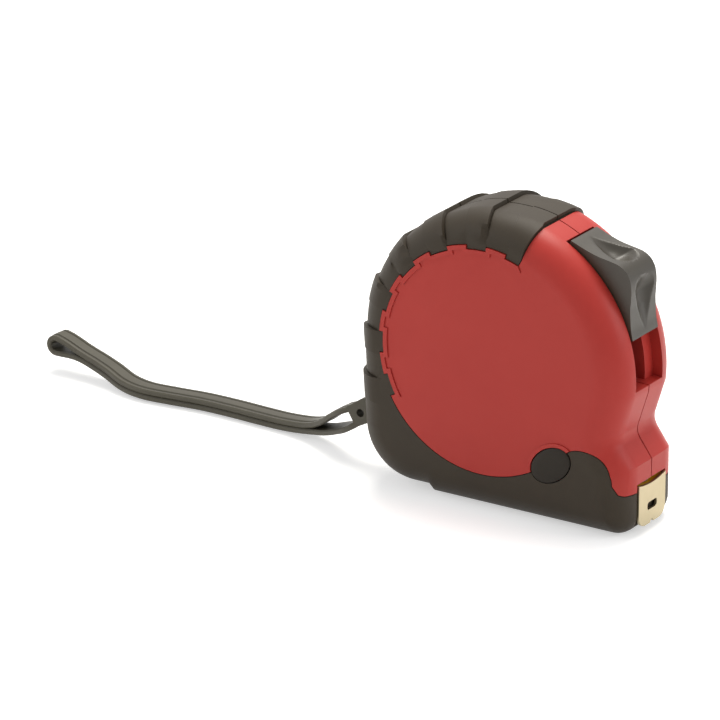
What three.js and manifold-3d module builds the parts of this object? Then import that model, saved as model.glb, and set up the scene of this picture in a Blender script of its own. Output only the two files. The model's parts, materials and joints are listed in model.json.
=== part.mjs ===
// Pocket tape measure with a two-half case, rubber jackets, a spring reel, a thumb lock,
// a side brake button, a belt clip and a moulded wrist strap.
//
// Millimetres, +Z up. The tape leaves the case towards +X, and Y runs across its thickness:
// -Y is the right half of the case and +Y the left half, which carries the belt clip.
// The origin is on the sole, directly under the reel's axis.

import * as THREE from "three";
import { mergeVertices } from "three/addons/utils/BufferGeometryUtils.js";
import Module from "manifold-3d";

const wasm = await Module();
wasm.setup();

// ---------------------------------------------------------------- driving dimensions

const gap = 0.3; // clearance between two pieces that touch
const runGap = 0.4; // clearance round a piece that turns or slides

const blade = { width: 13, thickness: 0.2, crown: 0.6, flatLength: 6, crownLength: 8 };

const rim = 38.4; // outside radius of the case's round part

const body = {
  axisHeight: rim + 0.6, // reel axis above the sole
  halfWidth: 14.5,
  edgeInset: 8, // how far the round edge eats into each side face
  edgeDepth: 8, // how far the same edge reaches across the rim
  noseX: rim + 1.1, // flat front of the nose
  noseTop: 18.3, // upper corner of the nose
  noseSlope: 36, // degrees the nose's upper facet leans back
  chestSlope: 17, // degrees the front leans back under the slot
  chestAngle: -5, // where the front leaves the round part
  waistRadius: 4,
  heelRadius: 15,
  heelRise: 1.5, // the heel's height above the sole
  soleStart: -17.5,
  toeRadius: 2.4, // round foot of the nose
};

const jacket = { thickness: 1.5, ribHeight: 0.5, frontAngle: 68.6, frontLean: 73.4 };

// The round side face that the jacket frames.
const face = {
  x: -1.2,
  z: body.axisHeight + 1.4,
  longRib: rim - 9.5,
  shortRib: rim - 8.4,
  smooth: rim - 7.9,
};
const ribs = { count: 7, firstAngle: 66, pitch: 22.1, width: 10.4 };

// The jacket's hump behind the nose, and the height at which it meets the mouth.
const hump = {
  x: body.noseX - 11.7,
  z: 14.3,
  radius: 7.9,
  startAngle: 114,
  shoulder: [body.noseX - 2.5, 11.8],
};
const mouth = {
  x: body.noseX - 1.3,
  seamZ: 11.2,
  bottom: 9.3,
  top: 13.4,
  pocketDepth: 0.9,
  pocketBottom: 1.1,
};

const cavity = { radius: rim - 5.9, halfWidth: blade.width / 2 + 4 };
const slot = {
  halfWidth: blade.width / 2,
  topAngle: 62.2,
  bottomAngle: -2.4,
  floorRadius: rim - 2.8,
  slitHalfWidth: 2.6,
};

const hook = { thickness: 0.8, height: 9.7, top: 11.2, play: 0.8, tongueLength: 11, frontInset: 0.4 };
const hookSlot = { halfWidth: 1.35, halfHeight: 1, z: 6.2 };
const rivet = {
  radius: 0.9, headRadius: 1.5, headThickness: 0.35, firstX: body.noseX - 6.3, pitch: 3.6,
};

const reel = {
  coilRadius: body.axisHeight - hook.top - 0.8,
  drumRadius: 17,
  drumWall: 0.9,
  hubRadius: 4.6,
  discThickness: 0.8,
};
const spring = { turns: 3.5, innerRadius: 6.2, outerRadius: 15.45, thickness: 0.35, width: 9.5 };
const post = { radius: 3.4, slitWidth: 0.8, slitLength: 12, boreInset: 2 };

const lock = {
  topAngle: 60.8,
  bottomAngle: 17.3,
  baseRadius: rim - 2.4,
  stemHalfWidth: 2.2,
  shoeHalfWidth: 5,
  shoeOuter: cavity.radius - runGap,
  shoeInner: reel.coilRadius + 3.2,
  shoeTopAngle: 46,
  shoeTipAngle: -38,
};

// The lock's outline: angle round the reel's axis, and height above the case's rim.
const lockCrest = [
  [17.3, 0.4], [22, 0.8], [28, 2.5], [31, 4], [34, 5.5], [37, 6.6],
  [40, 6.9], [43, 6.2], [46, 4.6], [50, 2.8], [55, 1.6], [60.8, 0.8],
];

const button = {
  x: body.noseX - 20.4,
  z: 16.8,
  halfLength: 6.5,
  halfWidth: 4.25,
  tilt: 35,
  crown: 0.4,
  flange: 0.9,
  flangeY: 3.6 - body.halfWidth,
  flangeThickness: 0.8,
  lipInner: 2.5 - body.halfWidth,
  travel: 1.5,
};
const brakePad = { offset: 3.3, radius: 1.3, inset: button.travel + 0.1 };
const brakeSpring = {
  x: button.x + 1.1,
  z: button.z - 0.8,
  radius: 1.5,
  wire: 0.4,
  ledgeThickness: 0.8,
  ledgeY: -blade.width / 2 - 1.8,
};

const screw = {
  radius: 1,
  headRadius: 1.9,
  headThickness: 1.3,
  seatY: body.halfWidth - 4.5,
  tipY: 6.5 - body.halfWidth,
};

const clip = {
  x: -1.2,
  width: 15,
  top: 66,
  screwZ: 61,
  bottom: 21,
  thickness: 0.8,
  stand: 3.4,
  flare: 2.2,
};
const clipScrew = { radius: 1.4, headRadius: 2.8, headThickness: 1.2, length: 3.4 };

const anchor = {
  x: 2.4 - rim, z: 18.6, pinRadius: 1, pinHalfLength: 5.6, pocketHalfWidth: 4, pocketDepth: 5.4,
};
const anchorPocket = { bottom: 12.4, top: 22.2 };
const strap = { width: 6.2, thickness: 3.3 };
const head = { angle: 211.3, reach: 12.8, eyeRadius: 2.6, waist: 7.6, waistHalf: 3.2, endHalf: 2.1 };
const headHole = { reach: 9.5, radius: 1.1 };

// Middle of the doubled strap, from just behind its head to its folded end.
const strapRoute = [
  [-53.3, 1.5, 8.2], [-58.7, 3.7, 5.2], [-65.1, 5.6, 3.1], [-72.8, 6.7, 2.05],
  [-80.4, 7, 1.95], [-89, 7.4, 1.95], [-98.7, 7.4, 1.95], [-108.5, 6.3, 1.95], [-116.2, 5.6, 2.05],
  [-122.8, 6.6, 2.5], [-129.6, 8.9, 3.8], [-136.4, 10.2, 5.4], [-142.7, 10.7, 6.8], [-148.5, 10.9, 7.6],
];

// ---------------------------------------------------------------- finishes

const finishes = {
  redAbs: { color: 0xb04440, roughness: 0.42, metalness: 0 },
  rubber: { color: 0x40392f, roughness: 0.7, metalness: 0 },
  darkPlastic: { color: 0x57503f, roughness: 0.45, metalness: 0 },
  yellowSteel: { color: 0xe9c52c, roughness: 0.4, metalness: 0.1 },
  platedSteel: { color: 0xd9cba0, roughness: 0.3, metalness: 0.9 },
  springSteel: { color: 0x8b8f96, roughness: 0.35, metalness: 0.9 },
  reelPlastic: { color: 0x2b2b2b, roughness: 0.5, metalness: 0 },
};

// ---------------------------------------------------------------- outlines in the XZ plane

const radians = (degrees) => (degrees * Math.PI) / 180;

/** Points of a circular arc, both ends included. */
function arc(x, z, radius, from, to, step = 7) {
  const count = Math.max(1, Math.ceil(Math.abs(to - from) / step));
  return Array.from({ length: count + 1 }, (_, i) => {
    const angle = radians(from + ((to - from) * i) / count);
    return [x + radius * Math.cos(angle), z + radius * Math.sin(angle)];
  });
}

/** A point at a radius and an angle round the reel's axis. */
const around = (radius, angle) => arc(0, body.axisHeight, radius, angle, angle)[0];

/** Where the case's screws go: heel, toe, nose and top. */
const screwPlaces = [
  [10.9 - rim, 13],
  [body.noseX - 9.5, 5.4],
  [body.noseX - 6.5, 19.2],
  around(cavity.radius + 2.6, 110),
];

/** The point where two lines meet, each given by a point and a direction. */
function meeting([ax, az], [adx, adz], [bx, bz], [bdx, bdz]) {
  const reach = ((bx - ax) * bdz - (bz - az) * bdx) / (adx * bdz - adz * bdx);
  return [ax + adx * reach, az + adz * reach];
}

/** Replaces a corner by an arc that touches both of its sides. */
function roundedCorner(before, corner, after, radius, steps = 5) {
  const a = new THREE.Vector2(...before).sub(new THREE.Vector2(...corner)).normalize();
  const b = new THREE.Vector2(...after).sub(new THREE.Vector2(...corner)).normalize();
  const half = Math.acos(THREE.MathUtils.clamp(a.dot(b), -1, 1)) / 2;
  const middle = a.clone().add(b).normalize().multiplyScalar(radius / Math.sin(half));
  const centre = new THREE.Vector2(...corner).add(middle);
  const start = a.clone().multiplyScalar(radius / Math.tan(half)).add(new THREE.Vector2(...corner));
  const end = b.clone().multiplyScalar(radius / Math.tan(half)).add(new THREE.Vector2(...corner));
  const first = start.clone().sub(centre);
  const turn = Math.atan2(first.cross(end.clone().sub(centre)), first.dot(end.clone().sub(centre)));
  return Array.from({ length: steps + 1 }, (_, i) => {
    const point = first.clone().rotateAround(new THREE.Vector2(), (turn * i) / steps).add(centre);
    return [point.x, point.y];
  });
}

/** Moves every side of a closed anticlockwise outline outwards by a distance. */
function grown(points, distance) {
  const count = points.length;
  return points.map((point, i) => {
    const before = points[(i + count - 1) % count];
    const after = points[(i + 1) % count];
    const a = new THREE.Vector2(point[0] - before[0], point[1] - before[1]).normalize();
    const b = new THREE.Vector2(after[0] - point[0], after[1] - point[1]).normalize();
    const scale = distance / (1 + a.dot(b));
    return [point[0] + (a.y + b.y) * scale, point[1] - (a.x + b.x) * scale];
  });
}

/** The case's side outline, anticlockwise from the foot of the nose. */
function bodyOutline() {
  const { axisHeight, noseX, noseTop, heelRadius, heelRise } = body;
  const noseCorner = [noseX, noseTop];
  const chest = around(rim, body.chestAngle);
  const facet = [-Math.sin(radians(body.noseSlope)), Math.cos(radians(body.noseSlope))];
  const front = [-Math.sin(radians(body.chestSlope)), -Math.cos(radians(body.chestSlope))];
  const waist = meeting(chest, front, noseCorner, facet);
  const heelX = heelRadius - rim;
  return [
    [noseX, 0],
    noseCorner,
    ...roundedCorner(noseCorner, waist, chest, body.waistRadius),
    ...arc(0, axisHeight, rim, body.chestAngle, 180),
    ...arc(heelX, heelRadius + heelRise, heelRadius, 180, 270, 15),
    [body.soleStart - heelRise, heelRise],
    [body.soleStart, 0],
  ];
}

/** The jacket's edge on the side face: ribs with long and short ends, then the smooth sweep. */
function jacketEdge() {
  const { x, z, longRib, shortRib, smooth } = face;
  const edge = [];
  for (let i = 0; i < ribs.count; i += 1) {
    const from = ribs.firstAngle + i * ribs.pitch;
    const start = i === 0 ? from + 3 : from;
    const last = i === ribs.count - 1;
    edge.push(...arc(x, z, longRib, start, from + ribs.width));
    if (!last) edge.push(...arc(x, z, shortRib, from + ribs.width, from + ribs.pitch));
  }
  const ribEnd = ribs.firstAngle + (ribs.count - 1) * ribs.pitch + ribs.width;
  edge.push(...arc(x, z, smooth, ribEnd, 298));
  edge.push(...arc(hump.x, hump.z, hump.radius, hump.startAngle, 0, 12));
  return edge;
}

/** Everything that the jacket covers, seen from the side; far larger than the case outside it. */
function jacketRegion() {
  const far = 70;
  const [tip] = arc(face.x, face.z, face.smooth, jacket.frontAngle, jacket.frontAngle);
  const [top] = arc(...tip, far / 3, jacket.frontLean, jacket.frontLean);
  return [
    top,
    [-far, top[1]],
    [-far, -far],
    [far, -far],
    [far, mouth.seamZ],
    [mouth.x, mouth.seamZ],
    hump.shoulder,
    ...jacketEdge().reverse(),
    tip,
  ];
}

/** A slanted oval, such as the brake button seen from the side. */
function oval(x, z, halfLength, halfWidth, tilt, count = 28) {
  const cos = Math.cos(radians(tilt));
  const sin = Math.sin(radians(tilt));
  return Array.from({ length: count }, (_, i) => {
    const angle = (i / count) * 2 * Math.PI;
    const along = halfLength * Math.cos(angle);
    const across = halfWidth * Math.sin(angle);
    return [x + along * cos - across * sin, z + along * sin + across * cos];
  });
}

// ---------------------------------------------------------------- solids

/** A closed three.js geometry as a solid that can be joined and cut. */
function solid(geometry) {
  const plain = geometry.index ? geometry.clone() : geometry;
  plain.deleteAttribute("normal");
  plain.deleteAttribute("uv");
  const merged = mergeVertices(plain, 1e-4);
  const vertProperties = new Float32Array(merged.attributes.position.array);
  const triVerts = new Uint32Array(merged.index.array);
  return new wasm.Manifold(new wasm.Mesh({ numProp: 3, vertProperties, triVerts }));
}

/** A solid as a three.js geometry. */
function geometryOf(manifold) {
  const { vertProperties, triVerts } = manifold.getMesh();
  const geometry = new THREE.BufferGeometry();
  geometry.setAttribute("position", new THREE.BufferAttribute(new Float32Array(vertProperties), 3));
  geometry.setIndex(new THREE.BufferAttribute(new Uint32Array(triVerts), 1));
  geometry.computeVertexNormals();
  return geometry;
}

const shapeOf = (points) => new THREE.Shape(points.map(([x, z]) => new THREE.Vector2(x, z)));

/** An outline in the XZ plane, extruded from one Y to another. */
function prism(points, fromY, toY) {
  const geometry = new THREE.ExtrudeGeometry(shapeOf(points), {
    depth: toY - fromY,
    bevelEnabled: false,
    steps: 1,
  });
  return solid(geometry.rotateX(Math.PI / 2).translate(0, toY, 0));
}

/** An outline in the XZ plane, extruded to both sides of Y = 0 with round edges. */
function roundedPrism(points, halfWidth, edgeInset, edgeDepth) {
  const geometry = new THREE.ExtrudeGeometry(shapeOf(points), {
    depth: 2 * (halfWidth - edgeDepth),
    bevelThickness: edgeDepth,
    bevelSize: edgeInset,
    bevelOffset: -edgeInset,
    bevelSegments: 4,
    steps: 1,
  });
  return solid(geometry.rotateX(Math.PI / 2).translate(0, halfWidth - edgeDepth, 0));
}

/** A box given by its low and high corners. */
function block([x0, y0, z0], [x1, y1, z1]) {
  const geometry = new THREE.BoxGeometry(x1 - x0, y1 - y0, z1 - z0);
  return solid(geometry.translate((x0 + x1) / 2, (y0 + y1) / 2, (z0 + z1) / 2));
}

/** A disc or pin along Y. */
function roundY(x, z, radius, fromY, toY, sides = 32) {
  const geometry = new THREE.CylinderGeometry(radius, radius, toY - fromY, sides);
  return solid(geometry.translate(x, (fromY + toY) / 2, z));
}

/** A pin along Z. */
function roundZ(x, y, radius, fromZ, toZ, sides = 20) {
  const geometry = new THREE.CylinderGeometry(radius, radius, toZ - fromZ, sides);
  return solid(geometry.rotateX(Math.PI / 2).translate(x, y, (fromZ + toZ) / 2));
}

/** A band round the reel's axis, between two radii and two angles. */
function ringBand(inner, outer, fromAngle, toAngle, halfWidth) {
  const outside = arc(0, body.axisHeight, outer, fromAngle, toAngle);
  const inside = arc(0, body.axisHeight, inner, toAngle, fromAngle);
  return prism([...outside, ...inside], -halfWidth, halfWidth);
}

/** The half space on one side of the seam, less half of the seam's gap. */
function side(sign) {
  const far = 200;
  const near = gap / 2;
  return sign < 0
    ? block([-far, -far, -far], [far, -near, far])
    : block([-far, near, -far], [far, far, far]);
}

// ---------------------------------------------------------------- pieces

const rightSide = side(-1);
const leftSide = side(1);

/** What is cut away to round the foot of the nose. */
function toeCut() {
  const { noseX, toeRadius, halfWidth } = body;
  const outline = [
    [noseX + 1, toeRadius],
    ...arc(noseX - toeRadius, toeRadius, toeRadius, 0, -90, 18),
    [noseX - toeRadius, -1],
    [noseX + 1, -1],
  ];
  return prism(outline, -halfWidth - 1, halfWidth + 1);
}

/** The whole outside of the case, with the jacket on it. */
const uncut = roundedPrism(bodyOutline(), body.halfWidth, body.edgeInset, body.edgeDepth);
const outside = uncut.subtract(toeCut());

/** The outside of the case under the jacket; inset is how far it lies inside. */
function inner(inset) {
  const { halfWidth, edgeInset, edgeDepth } = body;
  const outline = grown(bodyOutline(), -inset);
  return roundedPrism(outline, halfWidth - inset, edgeInset - inset, edgeDepth - inset);
}

/** Openings that the case halves and the jackets share. */
function sharedCuts() {
  const { x, z, halfLength, halfWidth, tilt } = button;
  const buttonHole = prism(
    oval(x, z, halfLength + gap, halfWidth + gap, tilt), -body.halfWidth - 1, cavity.halfWidth * -0.9,
  );
  const pocket = block(
    [body.noseX - mouth.pocketDepth, -slot.halfWidth - runGap, mouth.pocketBottom],
    [body.noseX + 1, slot.halfWidth + runGap, mouth.top],
  );
  const strapPocket = block(
    [-rim - 5, -anchor.pocketHalfWidth, anchorPocket.bottom],
    [-rim + anchor.pocketDepth, anchor.pocketHalfWidth, anchorPocket.top],
  );
  const pinHole = roundY(
    anchor.x, anchor.z, anchor.pinRadius + gap,
    -anchor.pinHalfLength - gap, anchor.pinHalfLength + gap, 16,
  );
  const channel = block(
    [cavity.radius / 3, -blade.width / 2 - runGap, mouth.bottom],
    [body.noseX + 1, blade.width / 2 + runGap, mouth.top - 0.2],
  );
  return buttonHole.add(pocket).add(strapPocket).add(pinHole).add(channel);
}

/** Clearance for one case screw: its shank, and its head from the left face. */
function screwHole([x, z]) {
  const shank = roundY(x, z, screw.radius + gap, screw.tipY - gap, screw.seatY + gap, 16);
  const head = roundY(x, z, screw.headRadius + gap, screw.seatY, body.halfWidth + 2, 20);
  return shank.add(head);
}

/** The hollow inside the case: the reel's room, the lock's slot, the blade's channel. */
function caseHollow() {
  const { radius, halfWidth } = cavity;
  const room = roundY(0, body.axisHeight, radius, -halfWidth, halfWidth, 60);
  const track = ringBand(
    slot.floorRadius, rim + 3, slot.bottomAngle, slot.topAngle, slot.halfWidth,
  );
  const slit = ringBand(
    radius - 1, slot.floorRadius + 0.5, slot.bottomAngle, slot.topAngle, slot.slitHalfWidth,
  );
  const { x, z, halfLength, halfWidth: across, tilt, flange, flangeY, lipInner, travel } = button;
  const flangeRoom = prism(
    oval(x, z, halfLength + flange + gap, across + flange + gap, tilt),
    lipInner,
    Math.max(flangeY + travel + gap, 0.1 - halfWidth),
  );
  const springRoom = roundY(
    brakeSpring.x, brakeSpring.z, brakeSpring.radius + gap, flangeY, brakeSpring.ledgeY, 20,
  );
  return room.add(track).add(slit).add(flangeRoom).add(springRoom);
}

/** The boss inside each side wall that holds the spring post and keeps the reel central. */
function postBoss(sign) {
  const near = sign * (blade.width / 2 + runGap + reel.discThickness);
  const far = sign * (cavity.halfWidth + 0.5);
  return roundY(0, body.axisHeight, post.radius + 3, Math.min(near, far), Math.max(near, far));
}

/** The bore in a side wall that takes one end of the spring post. */
function postBore() {
  const reach = body.halfWidth - post.boreInset;
  return roundY(0, body.axisHeight, post.radius + gap, -reach - gap, reach + gap);
}

/** The shelf inside the right wall that the brake spring pushes against. */
function brakeLedge() {
  const { x, z, radius, ledgeThickness, ledgeY } = brakeSpring;
  const tab = roundY(x, z, radius + 0.9, ledgeY, ledgeY + ledgeThickness, 20);
  const rootLow = [x, ledgeY, z - radius - 5];
  const rootHigh = [x + radius + 5, ledgeY + ledgeThickness, z + radius - 0.5];
  const root = block(rootLow, rootHigh);
  const clear = roundY(0, body.axisHeight, reel.coilRadius + 1.6, -body.halfWidth, body.halfWidth, 60);
  return tab.add(root).subtract(clear);
}

/** Both case halves: the nearer sign is -1 for the right half. */
function caseHalf(sign) {
  const region = prism(grown(jacketRegion(), gap), -body.halfWidth - 2, body.halfWidth + 2);
  let shell = outside.subtract(region).add(inner(jacket.thickness + gap));
  shell = shell.subtract(caseHollow()).subtract(sharedCuts());
  shell = shell.add(postBoss(sign));
  if (sign < 0) shell = shell.add(brakeLedge().intersect(inner(jacket.thickness + 1)));
  shell = shell.subtract(postBore());
  for (const place of screwPlaces) shell = shell.subtract(screwHole(place));
  if (sign > 0) shell = shell.subtract(clipScrewHole());
  return shell.intersect(sign < 0 ? rightSide : leftSide);
}

/** The hole in the left wall that the belt clip's screw is driven into. */
function clipScrewHole() {
  return roundY(
    clip.x, clip.screwZ, clipScrew.radius + gap,
    body.halfWidth - clipScrew.length - gap, body.halfWidth + 1, 20,
  );
}

/** One rubber jacket half, with its raised ribs. */
function jacketHalf(sign) {
  const region = prism(jacketRegion(), -body.halfWidth - 2, body.halfWidth + 2);
  let skin = outside;
  const raised = roundedPrism(
    grown(bodyOutline(), jacket.ribHeight),
    body.halfWidth + jacket.ribHeight / 2,
    body.edgeInset,
    body.edgeDepth,
  );
  for (let i = 0; i < ribs.count; i += 1) {
    const from = ribs.firstAngle + i * ribs.pitch;
    const reach = 60;
    const tip = arc(face.x, face.z, reach, from, from + ribs.width, ribs.width);
    const sector = prism([[face.x, face.z], ...tip], -body.halfWidth - 2, body.halfWidth + 2);
    skin = skin.add(raised.intersect(sector));
  }
  skin = skin.intersect(region).subtract(inner(jacket.thickness)).subtract(sharedCuts());
  for (const place of screwPlaces) skin = skin.subtract(screwHole(place));
  return skin.intersect(sign < 0 ? rightSide : leftSide);
}

/** The blade's flat, unwound length from under the coil to the hook. */
function bladeRun() {
  const { width, thickness, crown, flatLength, crownLength } = blade;
  const startX = 1;
  const endX = body.noseX + hook.frontInset - hook.thickness - gap;
  const geometry = new THREE.BoxGeometry(endX - startX, width, thickness, 8, 6, 1);
  geometry.translate((startX + endX) / 2, 0, hook.top + gap + thickness / 2);
  const places = geometry.attributes.position;
  for (let i = 0; i < places.count; i += 1) {
    const along = places.getX(i) - startX;
    const grow = THREE.MathUtils.smoothstep(along, flatLength, flatLength + crownLength);
    const across = places.getY(i) / (width / 2);
    places.setZ(i, places.getZ(i) + crown * grow * across * across);
  }
  let strip = solid(geometry);
  for (const x of rivetPlaces()) {
    strip = strip.subtract(roundZ(x, 0, rivet.radius + gap / 2, 0, hook.top + 5));
  }
  return strip;
}

const rivetPlaces = () => [0, 1].map((i) => rivet.firstX + i * rivet.pitch);

/** One rivet: a shank through blade and hook, with a head on each side. */
function hookRivet(x) {
  const bladeTop = hook.top + gap + blade.thickness;
  const shank = roundZ(x, 0, rivet.radius, hook.top - hook.thickness - gap, bladeTop + gap, 16);
  const upper = roundZ(x, 0, rivet.headRadius, bladeTop + gap, bladeTop + gap + rivet.headThickness, 16);
  const low = hook.top - hook.thickness - gap;
  const lower = roundZ(x, 0, rivet.headRadius, low - rivet.headThickness, low, 16);
  return shank.add(upper).add(lower);
}

/** The end hook: a slotted front plate and the tongue that rides under the blade. */
function endHook() {
  const half = blade.width / 2;
  const frontX = body.noseX + hook.frontInset;
  const backX = frontX - hook.thickness;
  const bottom = hook.top - hook.height;
  const corner = 2.2;
  const plate = [
    [-half, hook.top],
    ...roundedCorner([-half, hook.top], [-half, bottom], [half, bottom], corner),
    ...roundedCorner([-half, bottom], [half, bottom], [half, hook.top], corner),
    [half, hook.top],
  ];
  const plateDepth = { depth: hook.thickness, bevelEnabled: false };
  const front = new THREE.ExtrudeGeometry(shapeOf(plate), plateDepth);
  front.rotateX(Math.PI / 2).rotateZ(Math.PI / 2).translate(backX, 0, 0);
  const tongueBack = backX - hook.tongueLength;
  const tongueHalf = half - 1.8;
  let piece = solid(front);
  piece = piece.add(block(
    [tongueBack, -tongueHalf, hook.top - hook.thickness],
    [backX + 0.2, tongueHalf, hook.top],
  ));
  for (const x of rivetPlaces()) {
    const from = x - hook.play / 2;
    const long = block(
      [from - hook.play / 2 - gap / 2, -rivet.radius - gap, 0],
      [from + hook.play / 2 + gap / 2, rivet.radius + gap, hook.top + 2],
    );
    const ends = roundZ(x, 0, rivet.radius + gap, 0, hook.top + 2, 16)
      .add(roundZ(x - hook.play, 0, rivet.radius + gap, 0, hook.top + 2, 16));
    piece = piece.subtract(long).subtract(ends);
  }
  const { halfWidth, halfHeight, z } = hookSlot;
  const holeLow = [backX - 1, -halfWidth, z - halfHeight];
  const holeHigh = [frontX + 1, halfWidth, z + halfHeight];
  piece = piece.subtract(block(holeLow, holeHigh));
  const notch = new THREE.CylinderGeometry(0.8, 0.8, 4, 16).rotateZ(Math.PI / 2);
  return piece.subtract(solid(notch.translate(backX, 0, bottom)));
}

/** A solid turned round the reel's axis from a profile of radii and Y positions. */
function onAxis(profile, segments = 36) {
  const points = profile.map(([r, y]) => new THREE.Vector2(r, y));
  return solid(new THREE.LatheGeometry(points, segments).translate(0, 0, body.axisHeight));
}

/** The wound blade. */
function bladeCoil() {
  const half = blade.width / 2;
  const bore = reel.drumRadius + gap;
  return onAxis(
    [[bore, -half], [reel.coilRadius, -half], [reel.coilRadius, half], [bore, half], [bore, -half]], 48,
  );
}

/** The open drum that the blade winds on: a rim, a back disc and a hub. */
function reelDrum() {
  const half = blade.width / 2;
  const { drumRadius, drumWall, hubRadius, discThickness } = reel;
  const bore = post.radius + runGap;
  return onAxis([
    [bore, -half],
    [drumRadius, -half],
    [drumRadius, half],
    [drumRadius - drumWall, half],
    [drumRadius - drumWall, -half + discThickness],
    [hubRadius, -half + discThickness],
    [hubRadius, -half + 2 * discThickness],
    [bore, -half + 2 * discThickness],
    [bore, -half],
  ]);
}

/** The cover that closes the drum over the mainspring. */
function reelCover() {
  const half = blade.width / 2;
  const bore = post.radius + runGap;
  const rim = reel.drumRadius - reel.drumWall - gap;
  return onAxis([[bore, half - 0.8], [rim, half - 0.8], [rim, half], [bore, half], [bore, half - 0.8]]);
}

/** The mainspring's spiral strip. */
function mainspring() {
  const { turns, innerRadius, outerRadius, thickness, width } = spring;
  const steps = Math.round(turns * 18);
  const at = (i, shift) => {
    const radius = innerRadius + ((outerRadius - innerRadius) * i) / steps + shift;
    return around(radius, (360 * turns * i) / steps);
  };
  const outer = Array.from({ length: steps + 1 }, (_, i) => at(i, thickness));
  const inside = Array.from({ length: steps + 1 }, (_, i) => at(steps - i, 0));
  return prism([...outer, ...inside], -width / 2, width / 2);
}

/** The fixed post that the mainspring's inner end hooks into. */
function springPost() {
  const reach = body.halfWidth - post.boreInset;
  const slit = block(
    [-post.slitWidth / 2, reach - post.slitLength, body.axisHeight - 10],
    [post.slitWidth / 2, reach + 1, body.axisHeight + 10],
  );
  return roundY(0, body.axisHeight, post.radius, -reach, reach).subtract(slit);
}

/** Radius of the thumb lock's outside at an angle round the reel's axis. */
function lockRadius(angle) {
  const next = Math.max(1, lockCrest.findIndex(([knot]) => angle <= knot + 1e-6));
  const [a, low] = lockCrest[next - 1];
  const [b, high] = lockCrest[next];
  return rim + low + ((high - low) * (angle - a)) / (b - a);
}

/** The thumb lock: its pad in the slot, the stem through the slit, and the brake shoe inside. */
function thumbLock() {
  const { topAngle, bottomAngle, baseRadius, shoeInner, shoeOuter, shoeTopAngle, shoeTipAngle } = lock;
  const steps = 22;
  const outer = Array.from({ length: steps + 1 }, (_, i) => {
    const angle = bottomAngle + ((topAngle - bottomAngle) * i) / steps;
    return around(lockRadius(angle), angle);
  });
  const base = arc(0, body.axisHeight, baseRadius, topAngle, bottomAngle);
  const pad = prism([...outer, ...base], -slot.halfWidth + gap, slot.halfWidth - gap);
  const stemBottom = bottomAngle + 2;
  const stem = ringBand(shoeInner + 0.5, baseRadius + 0.5, stemBottom, shoeTopAngle, lock.stemHalfWidth);
  const shoe = ringBand(shoeInner, shoeOuter, shoeTipAngle, shoeTopAngle, lock.shoeHalfWidth);
  return pad.add(stem).add(shoe);
}

/** The side brake button: crowned oval, retaining flange and the pad that meets the coil. */
function brakeButton() {
  const { x, z, halfLength, halfWidth, tilt, crown, flange, flangeY, flangeThickness } = button;
  const top = -body.halfWidth - 0.1;
  const layers = [
    [halfLength, halfWidth, top],
    [halfLength - 0.7, halfWidth - 0.7, top - crown * 0.7],
    [halfLength - 2.4, halfWidth - 2.4, top - crown],
  ];
  let piece = prism(oval(x, z, halfLength, halfWidth, tilt), top, flangeY - flangeThickness / 2);
  layers.slice(1).forEach(([along, across, y], i) => {
    piece = piece.add(prism(oval(x, z, along, across, tilt), y, layers[i][2] + 0.01));
  });
  piece = piece.add(prism(
    oval(x, z, halfLength + flange, halfWidth + flange, tilt), flangeY - flangeThickness, flangeY,
  ));
  const padTip = -(blade.width / 2 + brakePad.inset);
  const padX = x - brakePad.offset * Math.sin(radians(tilt));
  const padZ = z + brakePad.offset * Math.cos(radians(tilt));
  return piece.add(roundY(padX, padZ, brakePad.radius, flangeY - 0.2, padTip, 20));
}

/** The brake button's return spring, as the tube that its coils fill. */
function returnSpring() {
  const { x, z, radius, wire, ledgeY } = brakeSpring;
  const from = button.flangeY + gap / 2;
  const to = ledgeY - gap / 2;
  return roundY(x, z, radius, from, to, 20).subtract(roundY(x, z, radius - wire, from - 1, to + 1, 16));
}

/** One case screw. */
function caseScrew([x, z]) {
  const { radius, headRadius, headThickness, seatY, tipY } = screw;
  const head = roundY(x, z, headRadius, seatY + gap, seatY + gap + headThickness, 20);
  const recess = block(
    [x - 1.2, seatY + headThickness - 0.3, z - 0.3], [x + 1.2, seatY + headThickness + 1, z + 0.3],
  );
  const cross = block(
    [x - 0.3, seatY + headThickness - 0.3, z - 1.2], [x + 0.3, seatY + headThickness + 1, z + 1.2],
  );
  return head.add(roundY(x, z, radius, tipY, seatY + gap + 0.2, 16)).subtract(recess).subtract(cross);
}

/** The belt clip: a strip bent away from the left face and back towards it. */
function beltClip() {
  const { x, width, top, screwZ, bottom, thickness, stand, flare } = clip;
  const seat = body.halfWidth + gap;
  const bend = screwZ - 5;
  const line = [
    [seat, top],
    [seat, bend],
    [seat + stand * 0.75, bend - 5],
    [seat + stand, bend - 13],
    [seat + stand * 0.8, bottom + 12],
    [seat + 0.5, bottom + 4],
    [seat + flare, bottom],
  ];
  const inside = line.map(([y, z]) => [y, z]);
  const outer = [...line].reverse().map(([y, z], i) => [y + thickness, i === 0 ? z - 0.2 : z]);
  const shape = new THREE.Shape([...inside, ...outer].map(([y, z]) => new THREE.Vector2(y, z)));
  const geometry = new THREE.ExtrudeGeometry(shape, { depth: width, bevelEnabled: false });
  geometry.rotateX(Math.PI / 2).rotateZ(Math.PI / 2).translate(x - width / 2, 0, 0);
  return solid(geometry).subtract(roundY(x, screwZ, clipScrew.radius + gap, seat - 1, seat + 3, 20));
}

/** The belt clip's screw. */
function beltClipScrew() {
  const { radius, headRadius, headThickness, length } = clipScrew;
  const seat = body.halfWidth + gap + clip.thickness + gap;
  const head = roundY(clip.x, clip.screwZ, headRadius, seat, seat + headThickness, 24);
  return head.add(roundY(clip.x, clip.screwZ, radius, body.halfWidth - length, seat + 0.2, 20));
}

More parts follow.
